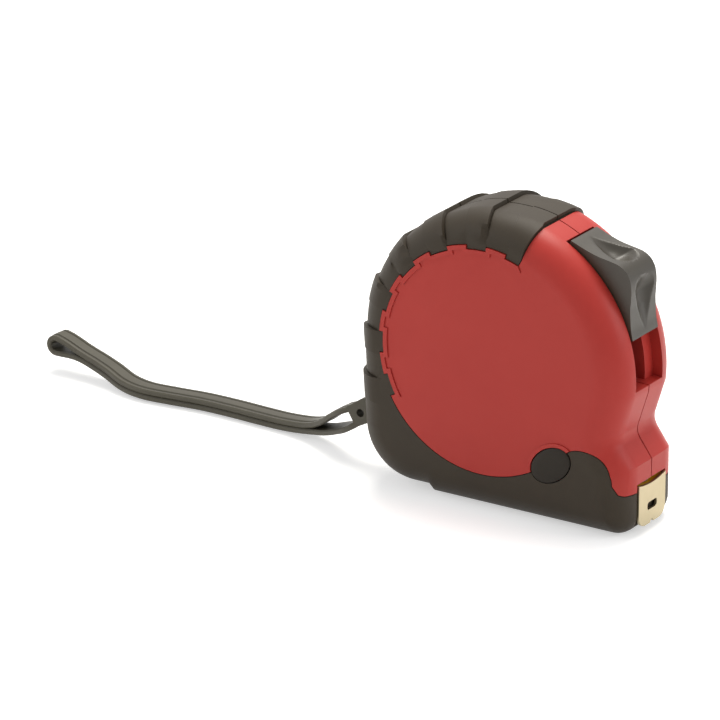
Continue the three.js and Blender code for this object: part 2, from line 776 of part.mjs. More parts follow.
/** The pin across the heel pocket that the strap's head turns on. */
function strapPin() {
  return roundY(anchor.x, anchor.z, anchor.pinRadius, -anchor.pinHalfLength, anchor.pinHalfLength, 16);
}

/** A point of the strap's head: how far from the pin, and how far across. */
function onHead(reach, across) {
  const cos = Math.cos(radians(head.angle));
  const sin = Math.sin(radians(head.angle));
  return [anchor.x + reach * cos - across * sin, anchor.z + reach * sin + across * cos];
}

/** The strap's moulded head: an eye round the pin, tapering to the two strands. */
function strapHead() {
  const { angle, reach, eyeRadius, waist, waistHalf, endHalf } = head;
  const outline = [
    ...arc(anchor.x, anchor.z, eyeRadius, angle + 90, angle + 270, 20),
    onHead(waist, -waistHalf),
    onHead(reach, -endHalf),
    onHead(reach, endHalf),
    onHead(waist, waistHalf),
  ];
  const [holeX, holeZ] = onHead(headHole.reach, 0);
  const half = strap.width / 2;
  return prism(outline, -half, half)
    .subtract(roundY(anchor.x, anchor.z, anchor.pinRadius + gap, -half - 1, half + 1, 16))
    .subtract(roundY(holeX, holeZ, headHole.radius, -half - 1, half + 1, 16));
}

/** The doubled strap behind its head, as a plain band on its route. */
function wristStrap() {
  const start = [gap, gap + 2.4].map((reach) => onHead(head.reach + reach, 0));
  const route = [...start.map(([x, z]) => [x, 0, z]), ...strapRoute];
  const curve = new THREE.CatmullRomCurve3(route.map((point) => new THREE.Vector3(...point)));
  const { width, thickness } = strap;
  const half = width / 2;
  const cut = 0.8;
  const section = [
    [half, thickness / 2 - cut], [half - cut, thickness / 2], [cut - half, thickness / 2],
    [-half, thickness / 2 - cut], [-half, cut - thickness / 2], [cut - half, -thickness / 2],
    [half - cut, -thickness / 2], [half, cut - thickness / 2],
  ];
  return solid(new THREE.ExtrudeGeometry(shapeOf(section), {
    steps: 40, extrudePath: curve, bevelEnabled: false,
  }));
}

// ---------------------------------------------------------------- assembly

const tapeMeasure = new THREE.Group();

/** Adds one named piece with its own material. */
function addPiece(name, manifold, finish) {
  const mesh = new THREE.Mesh(geometryOf(manifold), new THREE.MeshStandardMaterial(finishes[finish]));
  mesh.name = name;
  tapeMeasure.add(mesh);
}

addPiece("case_right", caseHalf(-1), "redAbs");
addPiece("case_left", caseHalf(1), "redAbs");
addPiece("jacket_right", jacketHalf(-1), "rubber");
addPiece("jacket_left", jacketHalf(1), "rubber");
addPiece("spring_post", springPost(), "platedSteel");
addPiece("reel_drum", reelDrum(), "reelPlastic");
addPiece("reel_cover", reelCover(), "reelPlastic");
addPiece("mainspring", mainspring(), "springSteel");
addPiece("blade_coil", bladeCoil(), "yellowSteel");
addPiece("blade_run", bladeRun(), "yellowSteel");
rivetPlaces().forEach((x, i) => addPiece(`hook_rivet_${i + 1}`, hookRivet(x), "platedSteel"));
addPiece("end_hook", endHook(), "platedSteel");
addPiece("thumb_lock", thumbLock(), "darkPlastic");
addPiece("brake_button", brakeButton(), "rubber");
addPiece("brake_spring", returnSpring(), "springSteel");
screwPlaces.forEach((place, i) => addPiece(`case_screw_${i + 1}`, caseScrew(place), "platedSteel"));
addPiece("belt_clip", beltClip(), "platedSteel");
addPiece("belt_clip_screw", beltClipScrew(), "platedSteel");
addPiece("strap_pin", strapPin(), "platedSteel");
addPiece("strap_head", strapHead(), "rubber");
addPiece("wrist_strap", wristStrap(), "rubber");

export default tapeMeasure;
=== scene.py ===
"""Pocket tape measure: every visible piece and its finish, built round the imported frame."""

import json
import logging
import math
from dataclasses import dataclass
from enum import Enum
from typing import Callable, ClassVar

import bmesh
import bpy
from mathutils import Matrix, Vector


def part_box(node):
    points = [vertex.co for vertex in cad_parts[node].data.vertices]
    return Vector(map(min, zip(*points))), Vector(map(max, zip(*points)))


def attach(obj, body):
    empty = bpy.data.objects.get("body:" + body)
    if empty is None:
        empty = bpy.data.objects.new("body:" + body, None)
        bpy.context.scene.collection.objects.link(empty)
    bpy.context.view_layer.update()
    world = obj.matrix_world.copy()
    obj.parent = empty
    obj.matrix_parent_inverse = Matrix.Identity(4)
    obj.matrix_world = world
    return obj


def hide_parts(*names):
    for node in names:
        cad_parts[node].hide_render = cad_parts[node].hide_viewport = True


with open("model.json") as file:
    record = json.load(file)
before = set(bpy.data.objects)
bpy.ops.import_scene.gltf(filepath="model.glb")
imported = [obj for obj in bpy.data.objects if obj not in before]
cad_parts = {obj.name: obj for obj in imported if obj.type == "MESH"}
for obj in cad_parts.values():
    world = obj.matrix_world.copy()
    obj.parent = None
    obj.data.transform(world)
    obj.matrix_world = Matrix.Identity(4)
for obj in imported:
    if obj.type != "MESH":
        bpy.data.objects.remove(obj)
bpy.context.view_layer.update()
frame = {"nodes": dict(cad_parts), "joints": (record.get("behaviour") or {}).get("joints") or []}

log = logging.getLogger("tape_measure")

MM = 0.001

Point = tuple[float, float]
Place = tuple[float, float, float]


# ---------------------------------------------------------------- outlines in the XZ plane, in millimetres


def polar(centre: Point, radius: float, angle: float) -> Point:
    """Returns the point at a radius and an angle in degrees round a centre."""
    turn = math.radians(angle)
    return (centre[0] + radius * math.cos(turn), centre[1] + radius * math.sin(turn))


def arc(centre: Point, radius: float, start: float, end: float, step: float = 3.0) -> list[Point]:
    """Returns the points of a circular arc, both ends included.

    Args:
        centre: the arc's centre.
        radius: its radius.
        start: the angle it starts at, in degrees.
        end: the angle it ends at; below start for a clockwise arc.
        step: the most degrees between two points.

    Returns:
        The points, in order from start to end.
    """
    count = max(1, math.ceil(abs(end - start) / step))
    return [polar(centre, radius, start + (end - start) * i / count) for i in range(count + 1)]


def grown(points: list[Point], distance: float) -> list[Point]:
    """Moves every side of a closed anticlockwise outline outwards.

    Args:
        points: the outline.
        distance: how far; below zero to shrink it.

    Returns:
        The new outline, point for point.
    """
    moved = []
    for i, point in enumerate(points):
        before, after = Vector(points[i - 1]), Vector(points[(i + 1) % len(points)])
        a = (Vector(point) - before).normalized()
        b = (after - Vector(point)).normalized()
        scale = distance / (1 + a.dot(b))
        moved.append((point[0] + (a.y + b.y) * scale, point[1] - (a.x + b.x) * scale))
    return moved


def meeting(a: Point, a_angle: float, b: Point, b_angle: float) -> Point:
    """Finds where two lines meet.

    Args:
        a: a point of the first line.
        a_angle: the first line's direction, in degrees.
        b: a point of the second line.
        b_angle: the second line's direction, in degrees.

    Returns:
        The point that both lines share.
    """
    da, db = polar((0, 0), 1, a_angle), polar((0, 0), 1, b_angle)
    reach = ((b[0] - a[0]) * db[1] - (b[1] - a[1]) * db[0]) / (da[0] * db[1] - da[1] * db[0])
    return (a[0] + da[0] * reach, a[1] + da[1] * reach)


def rounded(before: Point, corner: Point, after: Point, radius: float, steps: int = 10) -> list[Point]:
    """Replaces a corner by an arc that touches both of its sides.

    Args:
        before: a point on the side that leads to the corner.
        corner: the corner itself.
        after: a point on the side that leaves it.
        radius: the arc's radius.
        steps: how many chords make the arc.

    Returns:
        The arc's points, in the order of the outline.
    """
    a = (Vector(before) - Vector(corner)).normalized()
    b = (Vector(after) - Vector(corner)).normalized()
    half = a.angle(b) / 2
    centre = Vector(corner) + (a + b).normalized() * radius / math.sin(half)
    first = Vector(corner) + a * radius / math.tan(half) - centre
    last = Vector(corner) + b * radius / math.tan(half) - centre
    turn = math.atan2(first.x * last.y - first.y * last.x, first.dot(last))
    return [tuple(centre + Matrix.Rotation(turn * i / steps, 2) @ first) for i in range(steps + 1)]


def oval(
    centre: Point, half_length: float, half_width: float, tilt: float, count: int = 72
) -> list[Point]:
    """Draws a slanted ellipse.

    Args:
        centre: its middle.
        half_length: half of its long axis.
        half_width: half of its short axis.
        tilt: how far the long axis turns up from level, in degrees.
        count: how many points it has.

    Returns:
        A closed anticlockwise outline.
    """
    turn = Matrix.Rotation(math.radians(tilt), 2)
    outline = []
    for i in range(count):
        angle = 2 * math.pi * i / count
        point = turn @ Vector((half_length * math.cos(angle), half_width * math.sin(angle)))
        outline.append((centre[0] + point.x, centre[1] + point.y))
    return outline


def between(knots: list[Point], value: float) -> float:
    """Reads a smooth curve through a few knots, flat beyond the first and the last.

    Args:
        knots: (place, height) pairs in order of place.
        value: the place to read.

    Returns:
        The curve's height there.
    """
    if value <= knots[0][0]:
        return knots[0][1]
    for i in range(1, len(knots)):
        (a, low), (b, high) = knots[i - 1], knots[i]
        if value <= b:
            before = knots[max(i - 2, 0)]
            after = knots[min(i + 1, len(knots) - 1)]
            rise_a = (high - before[1]) / (b - before[0]) * (b - a)
            rise_b = (after[1] - low) / (after[0] - a) * (b - a)
            t = (value - a) / (b - a)
            return (
                (2 * t**3 - 3 * t**2 + 1) * low
                + (t**3 - 2 * t**2 + t) * rise_a
                + (3 * t**2 - 2 * t**3) * high
                + (t**3 - t**2) * rise_b
            )
    return knots[-1][1]


# ---------------------------------------------------------------- solids


class Solid:
    """A closed mesh in millimetres that can be joined, cut and then dressed."""

    def __init__(self, bm: bmesh.types.BMesh) -> None:
        """Turns a finished bmesh into an object.

        Args:
            bm: the closed mesh, which is freed.
        """
        bmesh.ops.remove_doubles(bm, verts=bm.verts, dist=1e-5)
        bmesh.ops.recalc_face_normals(bm, faces=bm.faces)
        mesh = bpy.data.meshes.new("solid")
        bm.to_mesh(mesh)
        bm.free()
        self.object = bpy.data.objects.new("solid", mesh)
        bpy.context.scene.collection.objects.link(self.object)

    @classmethod
    def prism(cls, points: list[Point], low: float, high: float, axis: str = "Y") -> "Solid":
        """Extrudes an outline in the XZ plane along Y, or one in the YZ plane along X.

        Args:
            points: the closed outline.
            low: where the extrusion starts on its axis.
            high: where it ends.
            axis: "Y" or "X".

        Returns:
            The prism.
        """
        bm = bmesh.new()
        places = [(a, low, b) if axis == "Y" else (low, a, b) for a, b in points]
        face = bm.faces.new([bm.verts.new(place) for place in places])
        made = bmesh.ops.extrude_face_region(bm, geom=[face])["geom"]
        verts = [part for part in made if isinstance(part, bmesh.types.BMVert)]
        shift = (0, high - low, 0) if axis == "Y" else (high - low, 0, 0)
        bmesh.ops.translate(bm, verts=verts, vec=shift)
        return cls(bm)

    @classmethod
    def pillow(cls, points: list[Point], half_width: float, edge: float, segments: int = 10) -> "Solid":
        """Returns an outline extruded to both sides of Y = 0 with round edges.

        Args:
            points: the outline in the XZ plane.
            half_width: how far each side face lies from Y = 0.
            edge: the radius of the round edges.
            segments: how many strips make each round edge.

        Returns:
            The rounded solid.
        """
        bm = bmesh.new()
        face = bm.faces.new([bm.verts.new((x, -half_width, z)) for x, z in points])
        made = bmesh.ops.extrude_face_region(bm, geom=[face])["geom"]
        verts = [part for part in made if isinstance(part, bmesh.types.BMVert)]
        bmesh.ops.translate(bm, verts=verts, vec=(0, 2 * half_width, 0))
        bmesh.ops.recalc_face_normals(bm, faces=bm.faces)
        rims = [e for e in bm.edges if abs(e.verts[0].co.y - e.verts[1].co.y) < half_width]
        bmesh.ops.bevel(
            bm,
            geom=rims,
            offset=edge,
            offset_type="OFFSET",
            affect="EDGES",
            segments=segments,
            profile=0.5,
            material=-1,
            clamp_overlap=False,
        )
        return cls(bm)

    @classmethod
    def block(cls, low: Place, high: Place) -> "Solid":
        """Makes a box, as a tool to cut with or a part to join on.

        Args:
            low: its lowest corner.
            high: its highest corner.

        Returns:
            The box.
        """
        bm = bmesh.new()
        size = Vector(high) - Vector(low)
        place = Matrix.Translation((Vector(low) + Vector(high)) / 2) @ Matrix.Diagonal((*size, 1))
        bmesh.ops.create_cube(bm, size=1, matrix=place)
        return cls(bm)

    @classmethod
    def rod(
        cls, centre: Place, radius: float, length: float, axis: str = "Y", sides: int = 48
    ) -> "Solid":
        """Makes a round bar about its own centre.

        Args:
            centre: its middle.
            radius: its radius.
            length: its whole length.
            axis: the axis it lies along.
            sides: how many flats make it round.

        Returns:
            The bar.
        """
        turns = {"X": Matrix.Rotation(math.pi / 2, 4, "Y"), "Y": Matrix.Rotation(math.pi / 2, 4, "X")}
        place = Matrix.Translation(centre) @ turns.get(axis, Matrix.Identity(4))
        bm = bmesh.new()
        bmesh.ops.create_cone(
            bm, cap_ends=True, segments=sides, radius1=radius, radius2=radius, depth=length, matrix=place
        )
        return cls(bm)

    def discard(self) -> None:
        """Removes the mesh once another solid has taken its shape in."""
        mesh = self.object.data
        bpy.data.objects.remove(self.object)
        bpy.data.meshes.remove(mesh)

    def _settled(self) -> "Solid":
        """Works the modifiers into the mesh and returns the solid."""
        graph = bpy.context.evaluated_depsgraph_get()
        mesh = bpy.data.meshes.new_from_object(self.object.evaluated_get(graph))
        self.object.modifiers.clear()
        old, self.object.data = self.object.data, mesh
        bpy.data.meshes.remove(old)
        return self

    def _combined(self, other: "Solid", operation: str) -> "Solid":
        """Combines this solid with another one.

        Args:
            other: the other solid, which is used up.
            operation: the boolean modifier's own word for how.

        Returns:
            This solid.
        """
        modifier = self.object.modifiers.new("combine", "BOOLEAN")
        modifier.object = other.object
        modifier.operation = operation
        modifier.solver = "MANIFOLD"
        self._settled()
        other.discard()
        return self

    def join(self, *others: "Solid") -> "Solid":
        """Adds other solids to this one."""
        for other in others:
            self._combined(other, "UNION")
        return self

    def cut(self, *others: "Solid") -> "Solid":
        """Takes other solids out of this one."""
        for other in others:
            self._combined(other, "DIFFERENCE")
        return self

    def within(self, other: "Solid") -> "Solid":
        """Keeps only what lies inside another solid."""
        return self._combined(other, "INTERSECT")

    def reshaped(self, move: Callable[[Vector, Vector], Vector]) -> "Solid":
        """Moves every vertex.

        Args:
            move: gives a vertex's new place from its place and its normal.

        Returns:
            This solid.
        """
        bm = bmesh.new()
        bm.from_mesh(self.object.data)
        bm.normal_update()
        places = [move(vert.co.copy(), vert.normal.copy()) for vert in bm.verts]
        for vert, place in zip(bm.verts, places):
            vert.co = place
        bm.to_mesh(self.object.data)
        bm.free()
        return self

    def sliced(self, planes: list[tuple[Place, Place]]) -> "Solid":
        """Adds a line of edges where each plane passes through.

        Args:
            planes: a point and a direction for each plane.

        Returns:
            This solid.
        """
        bm = bmesh.new()
        bm.from_mesh(self.object.data)
        for point, direction in planes:
            parts = [*bm.verts, *bm.edges, *bm.faces]
            bmesh.ops.bisect_plane(bm, geom=parts, dist=1e-4, plane_co=point, plane_no=direction)
        bm.to_mesh(self.object.data)
        bm.free()
        return self

    def tidied(self, angle: float = 0.4) -> "Solid":
        """Merges doubles and dissolves the needless edges that cuts leave on flat faces.

        Args:
            angle: how far, in degrees, two faces may turn and still count as one flat face.

        Returns:
            This solid.
        """
        bm = bmesh.new()
        bm.from_mesh(self.object.data)
        bmesh.ops.remove_doubles(bm, verts=bm.verts, dist=2e-3)
        bmesh.ops.dissolve_degenerate(bm, dist=1e-4, edges=bm.edges)
        bmesh.ops.dissolve_limit(bm, angle_limit=math.radians(angle), verts=bm.verts, edges=bm.edges)
        bmesh.ops.recalc_face_normals(bm, faces=bm.faces)
        bm.to_mesh(self.object.data)
        bm.free()
        return self

    def softened(self, width: float, segments: int = 2, angle: float = 42) -> "Solid":
        """Rounds every edge sharper than an angle by a small radius.

        Args:
            width: the radius, in millimetres.
            segments: strips across the round.
            angle: the sharpest edge that is left alone, in degrees.

        Returns:
            This solid.
        """
        modifier = self.object.modifiers.new("soften", "BEVEL")
        modifier.width = width
        modifier.segments = segments
        modifier.limit_method = "ANGLE"
        modifier.angle_limit = math.radians(angle)
        modifier.use_clamp_overlap = True
        modifier.miter_outer = "MITER_ARC"
        return self._settled()

    def half(self, sign: int, gap: float) -> "Solid":
        """Returns a new solid: this one's part on one side of the seam at Y = 0.

        Args:
            sign: -1 for the right side, 1 for the left.
            gap: the whole width of the seam.

        Returns:
            The half, closed along the seam.
        """
        bm = bmesh.new()
        bm.from_mesh(self.object.data)
        made = bmesh.ops.bisect_plane(
            bm,
            geom=[*bm.verts, *bm.edges, *bm.faces],
            dist=1e-5,
            plane_co=(0, sign * gap / 2, 0),
            plane_no=(0, -sign, 0),
            clear_outer=True,
        )
        rim = [part for part in made["geom_cut"] if isinstance(part, bmesh.types.BMEdge)]
        bmesh.ops.triangle_fill(bm, use_beauty=True, edges=rim)
        return Solid(bm)

    def piece(
        self, name: str, body: str, finish: "Finish", replaces: list[str], smooth: float = 32
    ) -> bpy.types.Object:
        """Turns the solid into a finished piece of the object.

        Args:
            name: the piece's name.
            body: the frame's body that it rides on.
            finish: what it is made of.
            replaces: the frame's nodes that it stands for.
            smooth: the sharpest edge, in degrees, that is shaded smooth.

        Returns:
            The piece, in metres, with its material.
        """
        made = self.object
        made.name = name
        made.data.name = name
        made.data.transform(Matrix.Scale(MM, 4))
        made.data.materials.clear()
        made.data.materials.append(finish.material())
        made.data.shade_smooth()
        made.data.set_sharp_from_angle(angle=math.radians(smooth))
        weighted = made.modifiers.new("weighted_normals", "WEIGHTED_NORMAL")
        weighted.keep_sharp = True
        weighted.weight = 100
        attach(made, body)
        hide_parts(*replaces)
        log.info("%s: %d faces", name, len(made.data.polygons))
        return made


# ---------------------------------------------------------------- finishes


def linear(hex_colour: str) -> tuple[float, float, float, float]:
    """Returns an sRGB hex colour as linear red, green, blue and alpha."""
    shares = [int(hex_colour.lstrip("#")[i : i + 2], 16) / 255 for i in (0, 2, 4)]
    return (*[s / 12.92 if s <= 0.04045 else ((s + 0.055) / 1.055) ** 2.4 for s in shares], 1.0)


def add_node(
    tree: bpy.types.NodeTree, kind: str, inputs: dict[str | int, object] | None = None, **settings: object
) -> bpy.types.Node:
    """Adds one shader node with its settings, its values and its links.

    Args:
        tree: the node tree it goes into.
        kind: the node's type name.
        inputs: a value or another node's output for each input, by its name or its number.
        **settings: the node's own properties.

    Returns:
        The new node.
    """
    made = tree.nodes.new(kind)
    for name, value in settings.items():
        setattr(made, name, value)
    for name, value in (inputs or {}).items():
        if isinstance(value, bpy.types.NodeSocket):
            tree.links.new(value, made.inputs[name])
        else:
            made.inputs[name].default_value = value
    return made


class Grain(Enum):
    """How a surface's fine texture runs."""

    EVEN = (1.0, 1.0, 1.0)
    ALONG_X = (0.06, 1.0, 1.0)
    ALONG_Z = (1.0, 1.0, 0.06)


@dataclass(frozen=True)
class Finish:
    """A real material: its colours, its gloss and its fine texture.

    Attributes:
        name: the material's own name.
        slot: the record's material slot; not used.
        colour: its main colour.
        tint: the colour that its blotches drift towards.
        roughness: how matt it is at the smoothest.
        spread: how much rougher its dull patches are.
        metallic: 1 for bare metal.
        ior: index of refraction.
        grain_mm: the size of its fine texture.
        depth_mm: how deep that texture is.
        blotch_mm: the size of its colour drift.
        grain: how the texture runs.
        coat: a clear gloss over it.
        coat_roughness: how matt that gloss is.
        sheen: the pale bloom of a soft surface at a glancing look.
        sheen_roughness: how far the bloom spreads.
        specular: how strongly it mirrors; 0.5 is the full share of its index of refraction.
    """

    name: str
    slot: str
    colour: str
    tint: str
    roughness: float
    spread: float = 0.08
    metallic: float = 0.0
    ior: float = 1.5
    grain_mm: float = 0.35
    depth_mm: float = 0.01
    blotch_mm: float = 14.0
    grain: Grain = Grain.EVEN
    coat: float = 0.0
    coat_roughness: float = 0.25
    sheen: float = 0.0
    sheen_roughness: float = 0.45
    specular: float = 0.5

    def material(self) -> bpy.types.Material:
        """Returns the material, made once and shared by every piece of this finish."""
        known = bpy.data.materials.get(self.name)
        if known is not None:
            return known
        made = bpy.data.materials.new(self.name)
        made.use_nodes = True
        made.diffuse_color = linear(self.colour)
        tree = made.node_tree
        tree.nodes.clear()
        place = add_node(tree, "ShaderNodeTexCoord").outputs["Object"]
        stretched = add_node(
            tree, "ShaderNodeMapping", {"Vector": place, "Scale": self.grain.value}
        ).outputs["Vector"]
        blotch = add_node(
            tree,
            "ShaderNodeTexNoise",
            {"Vector": place, "Scale": 1 / (self.blotch_mm * MM), "Detail": 4.0, "Roughness": 0.6},
        ).outputs["Fac"]
        texture = add_node(
            tree,
            "ShaderNodeTexNoise",
            {"Vector": stretched, "Scale": 1 / (self.grain_mm * MM), "Detail": 3.0, "Roughness": 0.55},
        ).outputs["Fac"]
        colour = add_node(
            tree,
            "ShaderNodeMix",
            {"Factor": blotch, "A": linear(self.colour), "B": linear(self.tint)},
            data_type="RGBA",
        ).outputs["Result"]
        roughness = add_node(
            tree,
            "ShaderNodeMapRange",
            {"Value": texture, "To Min": self.roughness, "To Max": self.roughness + self.spread},
        ).outputs["Result"]
        bump = add_node(
            tree,
            "ShaderNodeBump",
            {"Height": texture, "Distance": self.depth_mm * MM, "Strength": 1.0},
        ).outputs["Normal"]
        shader = add_node(
            tree,
            "ShaderNodeBsdfPrincipled",
            {
                "Base Color": colour,
                "Roughness": roughness,
                "Normal": bump,
                "Metallic": self.metallic,
                "IOR": self.ior,
                "Specular IOR Level": self.specular,
                "Coat Weight": self.coat,
                "Coat Roughness": self.coat_roughness,
                "Sheen Weight": self.sheen,
                "Sheen Roughness": self.sheen_roughness,
            },
        ).outputs["BSDF"]
        add_node(tree, "ShaderNodeOutputMaterial", {"Surface": shader})
        return made


# Moulded ABS: a smooth, satin skin whose red drifts a little, as thick moulded plastic does.
RED_ABS = Finish(
    "moulded_red_abs", "red_case", "#AA302A", "#B43932", roughness=0.36, spread=0.1, ior=1.53,
    grain_mm=0.45, depth_mm=0.003, blotch_mm=26, specular=0.22,
)
# Overmoulded thermoplastic rubber: matt, warm dark grey, with a soft bloom where it turns away.
RUBBER = Finish(
    "overmoulded_rubber", "rubber_jacket", "#2E261C", "#372F23", roughness=0.48, spread=0.14, ior=1.5,
    grain_mm=0.3, depth_mm=0.01, blotch_mm=9, sheen=0.03, specular=0.25,
)
# The button's rubber: the same stuff, moulded smoother, so that it reads a little darker.
BUTTON_RUBBER = Finish(
    "smooth_button_rubber", "rubber_jacket", "#1E1912", "#262017", roughness=0.46, spread=0.12, ior=1.5,
    grain_mm=0.3, depth_mm=0.006, blotch_mm=9, specular=0.22,
)
# Glass-filled nylon: harder and a little shinier than the rubber, greyer in colour.
LOCK_NYLON = Finish(
    "moulded_nylon", "lock_plastic", "#2C261D", "#363024", roughness=0.32, spread=0.1, ior=1.53,
    grain_mm=0.35, depth_mm=0.006, blotch_mm=7, specular=0.5,
)
# Soft moulded vinyl of the wrist strap: grey-brown, with a waxy half gloss.
STRAP_VINYL = Finish(
    "moulded_vinyl", "strap_vinyl", "#3C382D", "#474336", roughness=0.4, spread=0.14, ior=1.52,
    grain_mm=0.3, depth_mm=0.01, blotch_mm=8, specular=0.35,
)
# Nickel-plated spring steel with a warm cast, rolled along its length.
PLATED_STEEL = Finish(
    "nickel_plated_steel", "plated_steel", "#BCB091", "#AFA283", roughness=0.27, spread=0.16,
    metallic=1.0, grain_mm=0.25, depth_mm=0.003, blotch_mm=5, grain=Grain.ALONG_Z,
)
# Bare hardened spring steel, blue-grey and drawn along its length.
SPRING_STEEL = Finish(
    "hardened_spring_steel", "spring_steel", "#8E9299", "#7A7E86", roughness=0.28, spread=0.16,
    metallic=1.0, grain_mm=0.3, depth_mm=0.003, blotch_mm=5, grain=Grain.ALONG_X,
)
# Lacquered steel strip: flat yellow under a clear satin coat.
YELLOW_LACQUER = Finish(
    "yellow_lacquered_steel", "yellow_blade", "#E6C12B", "#D9B122", roughness=0.3, spread=0.1, ior=1.5,
    grain_mm=0.4, depth_mm=0.004, blotch_mm=12, grain=Grain.ALONG_X, coat=0.3,
)
# Moulded acetal of the drum: black, dry and slightly waxy.
BLACK_ACETAL = Finish(
    "moulded_acetal", "reel_plastic", "#262523", "#2F2E2B", roughness=0.4, spread=0.12, ior=1.48,
    grain_mm=0.35, depth_mm=0.006, blotch_mm=9,
)


# ---------------------------------------------------------------- the case and its rubber jackets


@dataclass
class Case:
    """The two red halves and the two rubber jackets.

    Sizes are in millimetres and come from the frame where the frame has them.
    """

    half_width: float = -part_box("case_right")[0].y / MM
    nose_x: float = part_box("case_right")[1].x / MM
    axis_z: float = next(j for j in frame["joints"] if j["name"] == "thumb_lock_slide")["pos_m"][2] / MM
    edge: float = 8.0
    nose_reach: float = 1.1  # how far the nose stands ahead of the rim
    nose_top: float = 18.3
    nose_slope: float = 126.0  # direction of the facet above the nose, in degrees
    chest_angle: float = -5.0  # where the front leaves the round part
    chest_slope: float = 253.0  # direction of the front below there
    waist_radius: float = 4.0
    back_drops: tuple[float, ...] = (5, 10, 16)  # points down the straight back, below the axis
    heel_radius: float = 15.0
    heel_rise: float = 1.5
    sole_start: float = -17.5
    toe_radius: float = 5.0
    toe_strips: int = 8
    skin: float = 1.5  # the rubber's thickness
    skin_gap: float = 0.3  # and its clearance over the red core
    groove: float = 0.22
    seam: float = 0.36
    rib_height: float = 0.95
    rib_end: float = 0.55
    rib_drop: float = 0.22
    step_gap: float = 0.18
    rib_groove: float = 0.3
    groove_run: float = 0.9
    rib_count: int = 7
    rib_first: float = 66.0
    rib_pitch: float = 22.1
    rib_width: float = 10.4
    rib_root: float = 4.0  # how far inside the rim the ribs' angles are laid out
    rib_lean: float = 4.0
    lean_start: float = 50.0  # the lean grows from this station on
    lean_grow: float = 12.0
    lean_end: float = 184.0  # and is gone at this one
    lean_fade: float = 14.0
    ribs_end: float = 215.0  # every rib lies before this station
    crowding: float = 0.25  # outline points closer than this to a rib's end are dropped
    face_shift: Point = (-1.2, 1.4)  # the red face's centre, off the reel's axis
    long_tooth: float = 9.5  # how far inside the rim the jacket's edge runs under a rib
    short_tooth: float = 8.4  # and between two ribs
    first_trim: float = 3.0
    sweep_inset: float = 7.9
    sweep_end: float = 298.0
    hump_back: float = 11.7  # the hump's centre, behind the nose
    hump_up: float = 14.3  # and its height
    hump_radius: float = 7.9
    hump_start: float = 114.0
    shoulder: Point = (2.5, 11.8)  # behind the nose, and up
    mouth_back: float = 1.3
    front_angle: float = 68.6  # where the jacket's front edge leaves the side face
    front_lean: float = 73.4
    lip_width: float = 1.15
    lip_height: float = 0.32
    rim_wall: float = 5.9  # from the rim to the reel's room
    cavity_half: float = 10.5
    mouth_bottom: float = 9.3
    mouth_seam: float = 11.2
    mouth_top: float = 13.4
    pocket_depth: float = 0.9  # the shallow seat of the end hook
    pocket_bottom: float = 1.1
    play: float = 0.4
    slot_half: float = 6.5
    slot_top: float = 62.2
    slot_bottom: float = -2.4
    slot_depth: float = 2.8
    slit_right: float = 5.6
    slit_left: float = 2.6
    blade_half: float = 6.9
    button_gap: float = 0.28
    button_rim: float = 1.25
    anchor_low: tuple[float, float] = (-4.0, 12.4)  # the strap's pocket, across and up
    anchor_high: tuple[float, float] = (4.0, 22.2)
    anchor_depth: float = 5.4
    pin_radius: float = 1.3
    pin_length: float = 11.8
    screw_gap: float = 0.3
    screw_depth: float = 4.5
    beyond: float = 3.0  # how far a cutting tool reaches past the surface

    def __post_init__(self) -> None:
        """Works out what follows from the sizes above."""
        self.rim = self.nose_x - self.nose_reach
        self.axis: Point = (0.0, self.axis_z)
        self.face: Point = (self.face_shift[0], self.axis_z + self.face_shift[1])
        self.cavity = self.rim - self.rim_wall
        self.slot_floor = self.rim - self.slot_depth

    def outline(self) -> list[Point]:
        """Returns the case's side outline, anticlockwise from the foot of the nose."""
        nose = (self.nose_x, self.nose_top)
        chest = polar(self.axis, self.rim, self.chest_angle)
        waist = meeting(chest, self.chest_slope, nose, self.nose_slope)
        heel = (self.heel_radius - self.rim, self.heel_radius + self.heel_rise)
        return [
            (self.nose_x, 0.0),
            nose,
            *rounded(nose, waist, chest, self.waist_radius),
            *arc(self.axis, self.rim, self.chest_angle, 180, 2.5),
            *[(-self.rim, self.axis_z - drop) for drop in self.back_drops],
            *arc(heel, self.heel_radius, 180, 270, 5),
            (self.sole_start - self.heel_rise, self.heel_rise),
            (self.sole_start, 0.0),
        ]

    def ribbed_outline(self) -> list[Point]:
        """Returns the same outline with a pair of close points at both ends of each rib."""
        fronts = self.rib_starts()
        edges = [*fronts, *(front + self.rib_width for front in fronts)]
        places = [edge - gap for edge in edges for gap in (0.0, self.step_gap)]
        places += [front - self.groove_run for front in fronts]
        extra = [self.at_station(place) for place in places]
        kept = [p for p in self.outline() if all(math.dist(p, e) > self.crowding for e in extra)]
        heel_top = self.heel_radius + self.heel_rise
        start = next(i for i, point in enumerate(kept) if point[1] >= self.axis_z)
        end = next(i for i, point in enumerate(kept) if i > start and point[1] <= heel_top)
        round_part = sorted([*kept[start:end], *extra], key=lambda point: self.station(*point))
        return [*kept[:start], *round_part, *kept[end:]]

    def station(self, x: float, z: float) -> float:
        """Names a place on the rim: degrees round the axis, then as far again down the straight back.

        Args:
            x: the place along the case.
            z: its height.

        Returns:
            The station, in degrees.
        """
        if z >= self.axis_z or x > 0:
            return math.degrees(math.atan2(z - self.axis_z, x))
        return 180 + math.degrees((self.axis_z - z) / self.rim)

    def at_station(self, station: float) -> Point:
        """Finds a place on the outline.

        Args:
            station: the place's name in degrees.

        Returns:
            The point there.
        """
        if station <= 180:
            return polar(self.axis, self.rim, station)
        return (-self.rim, self.axis_z - math.radians(station - 180) * self.rim)

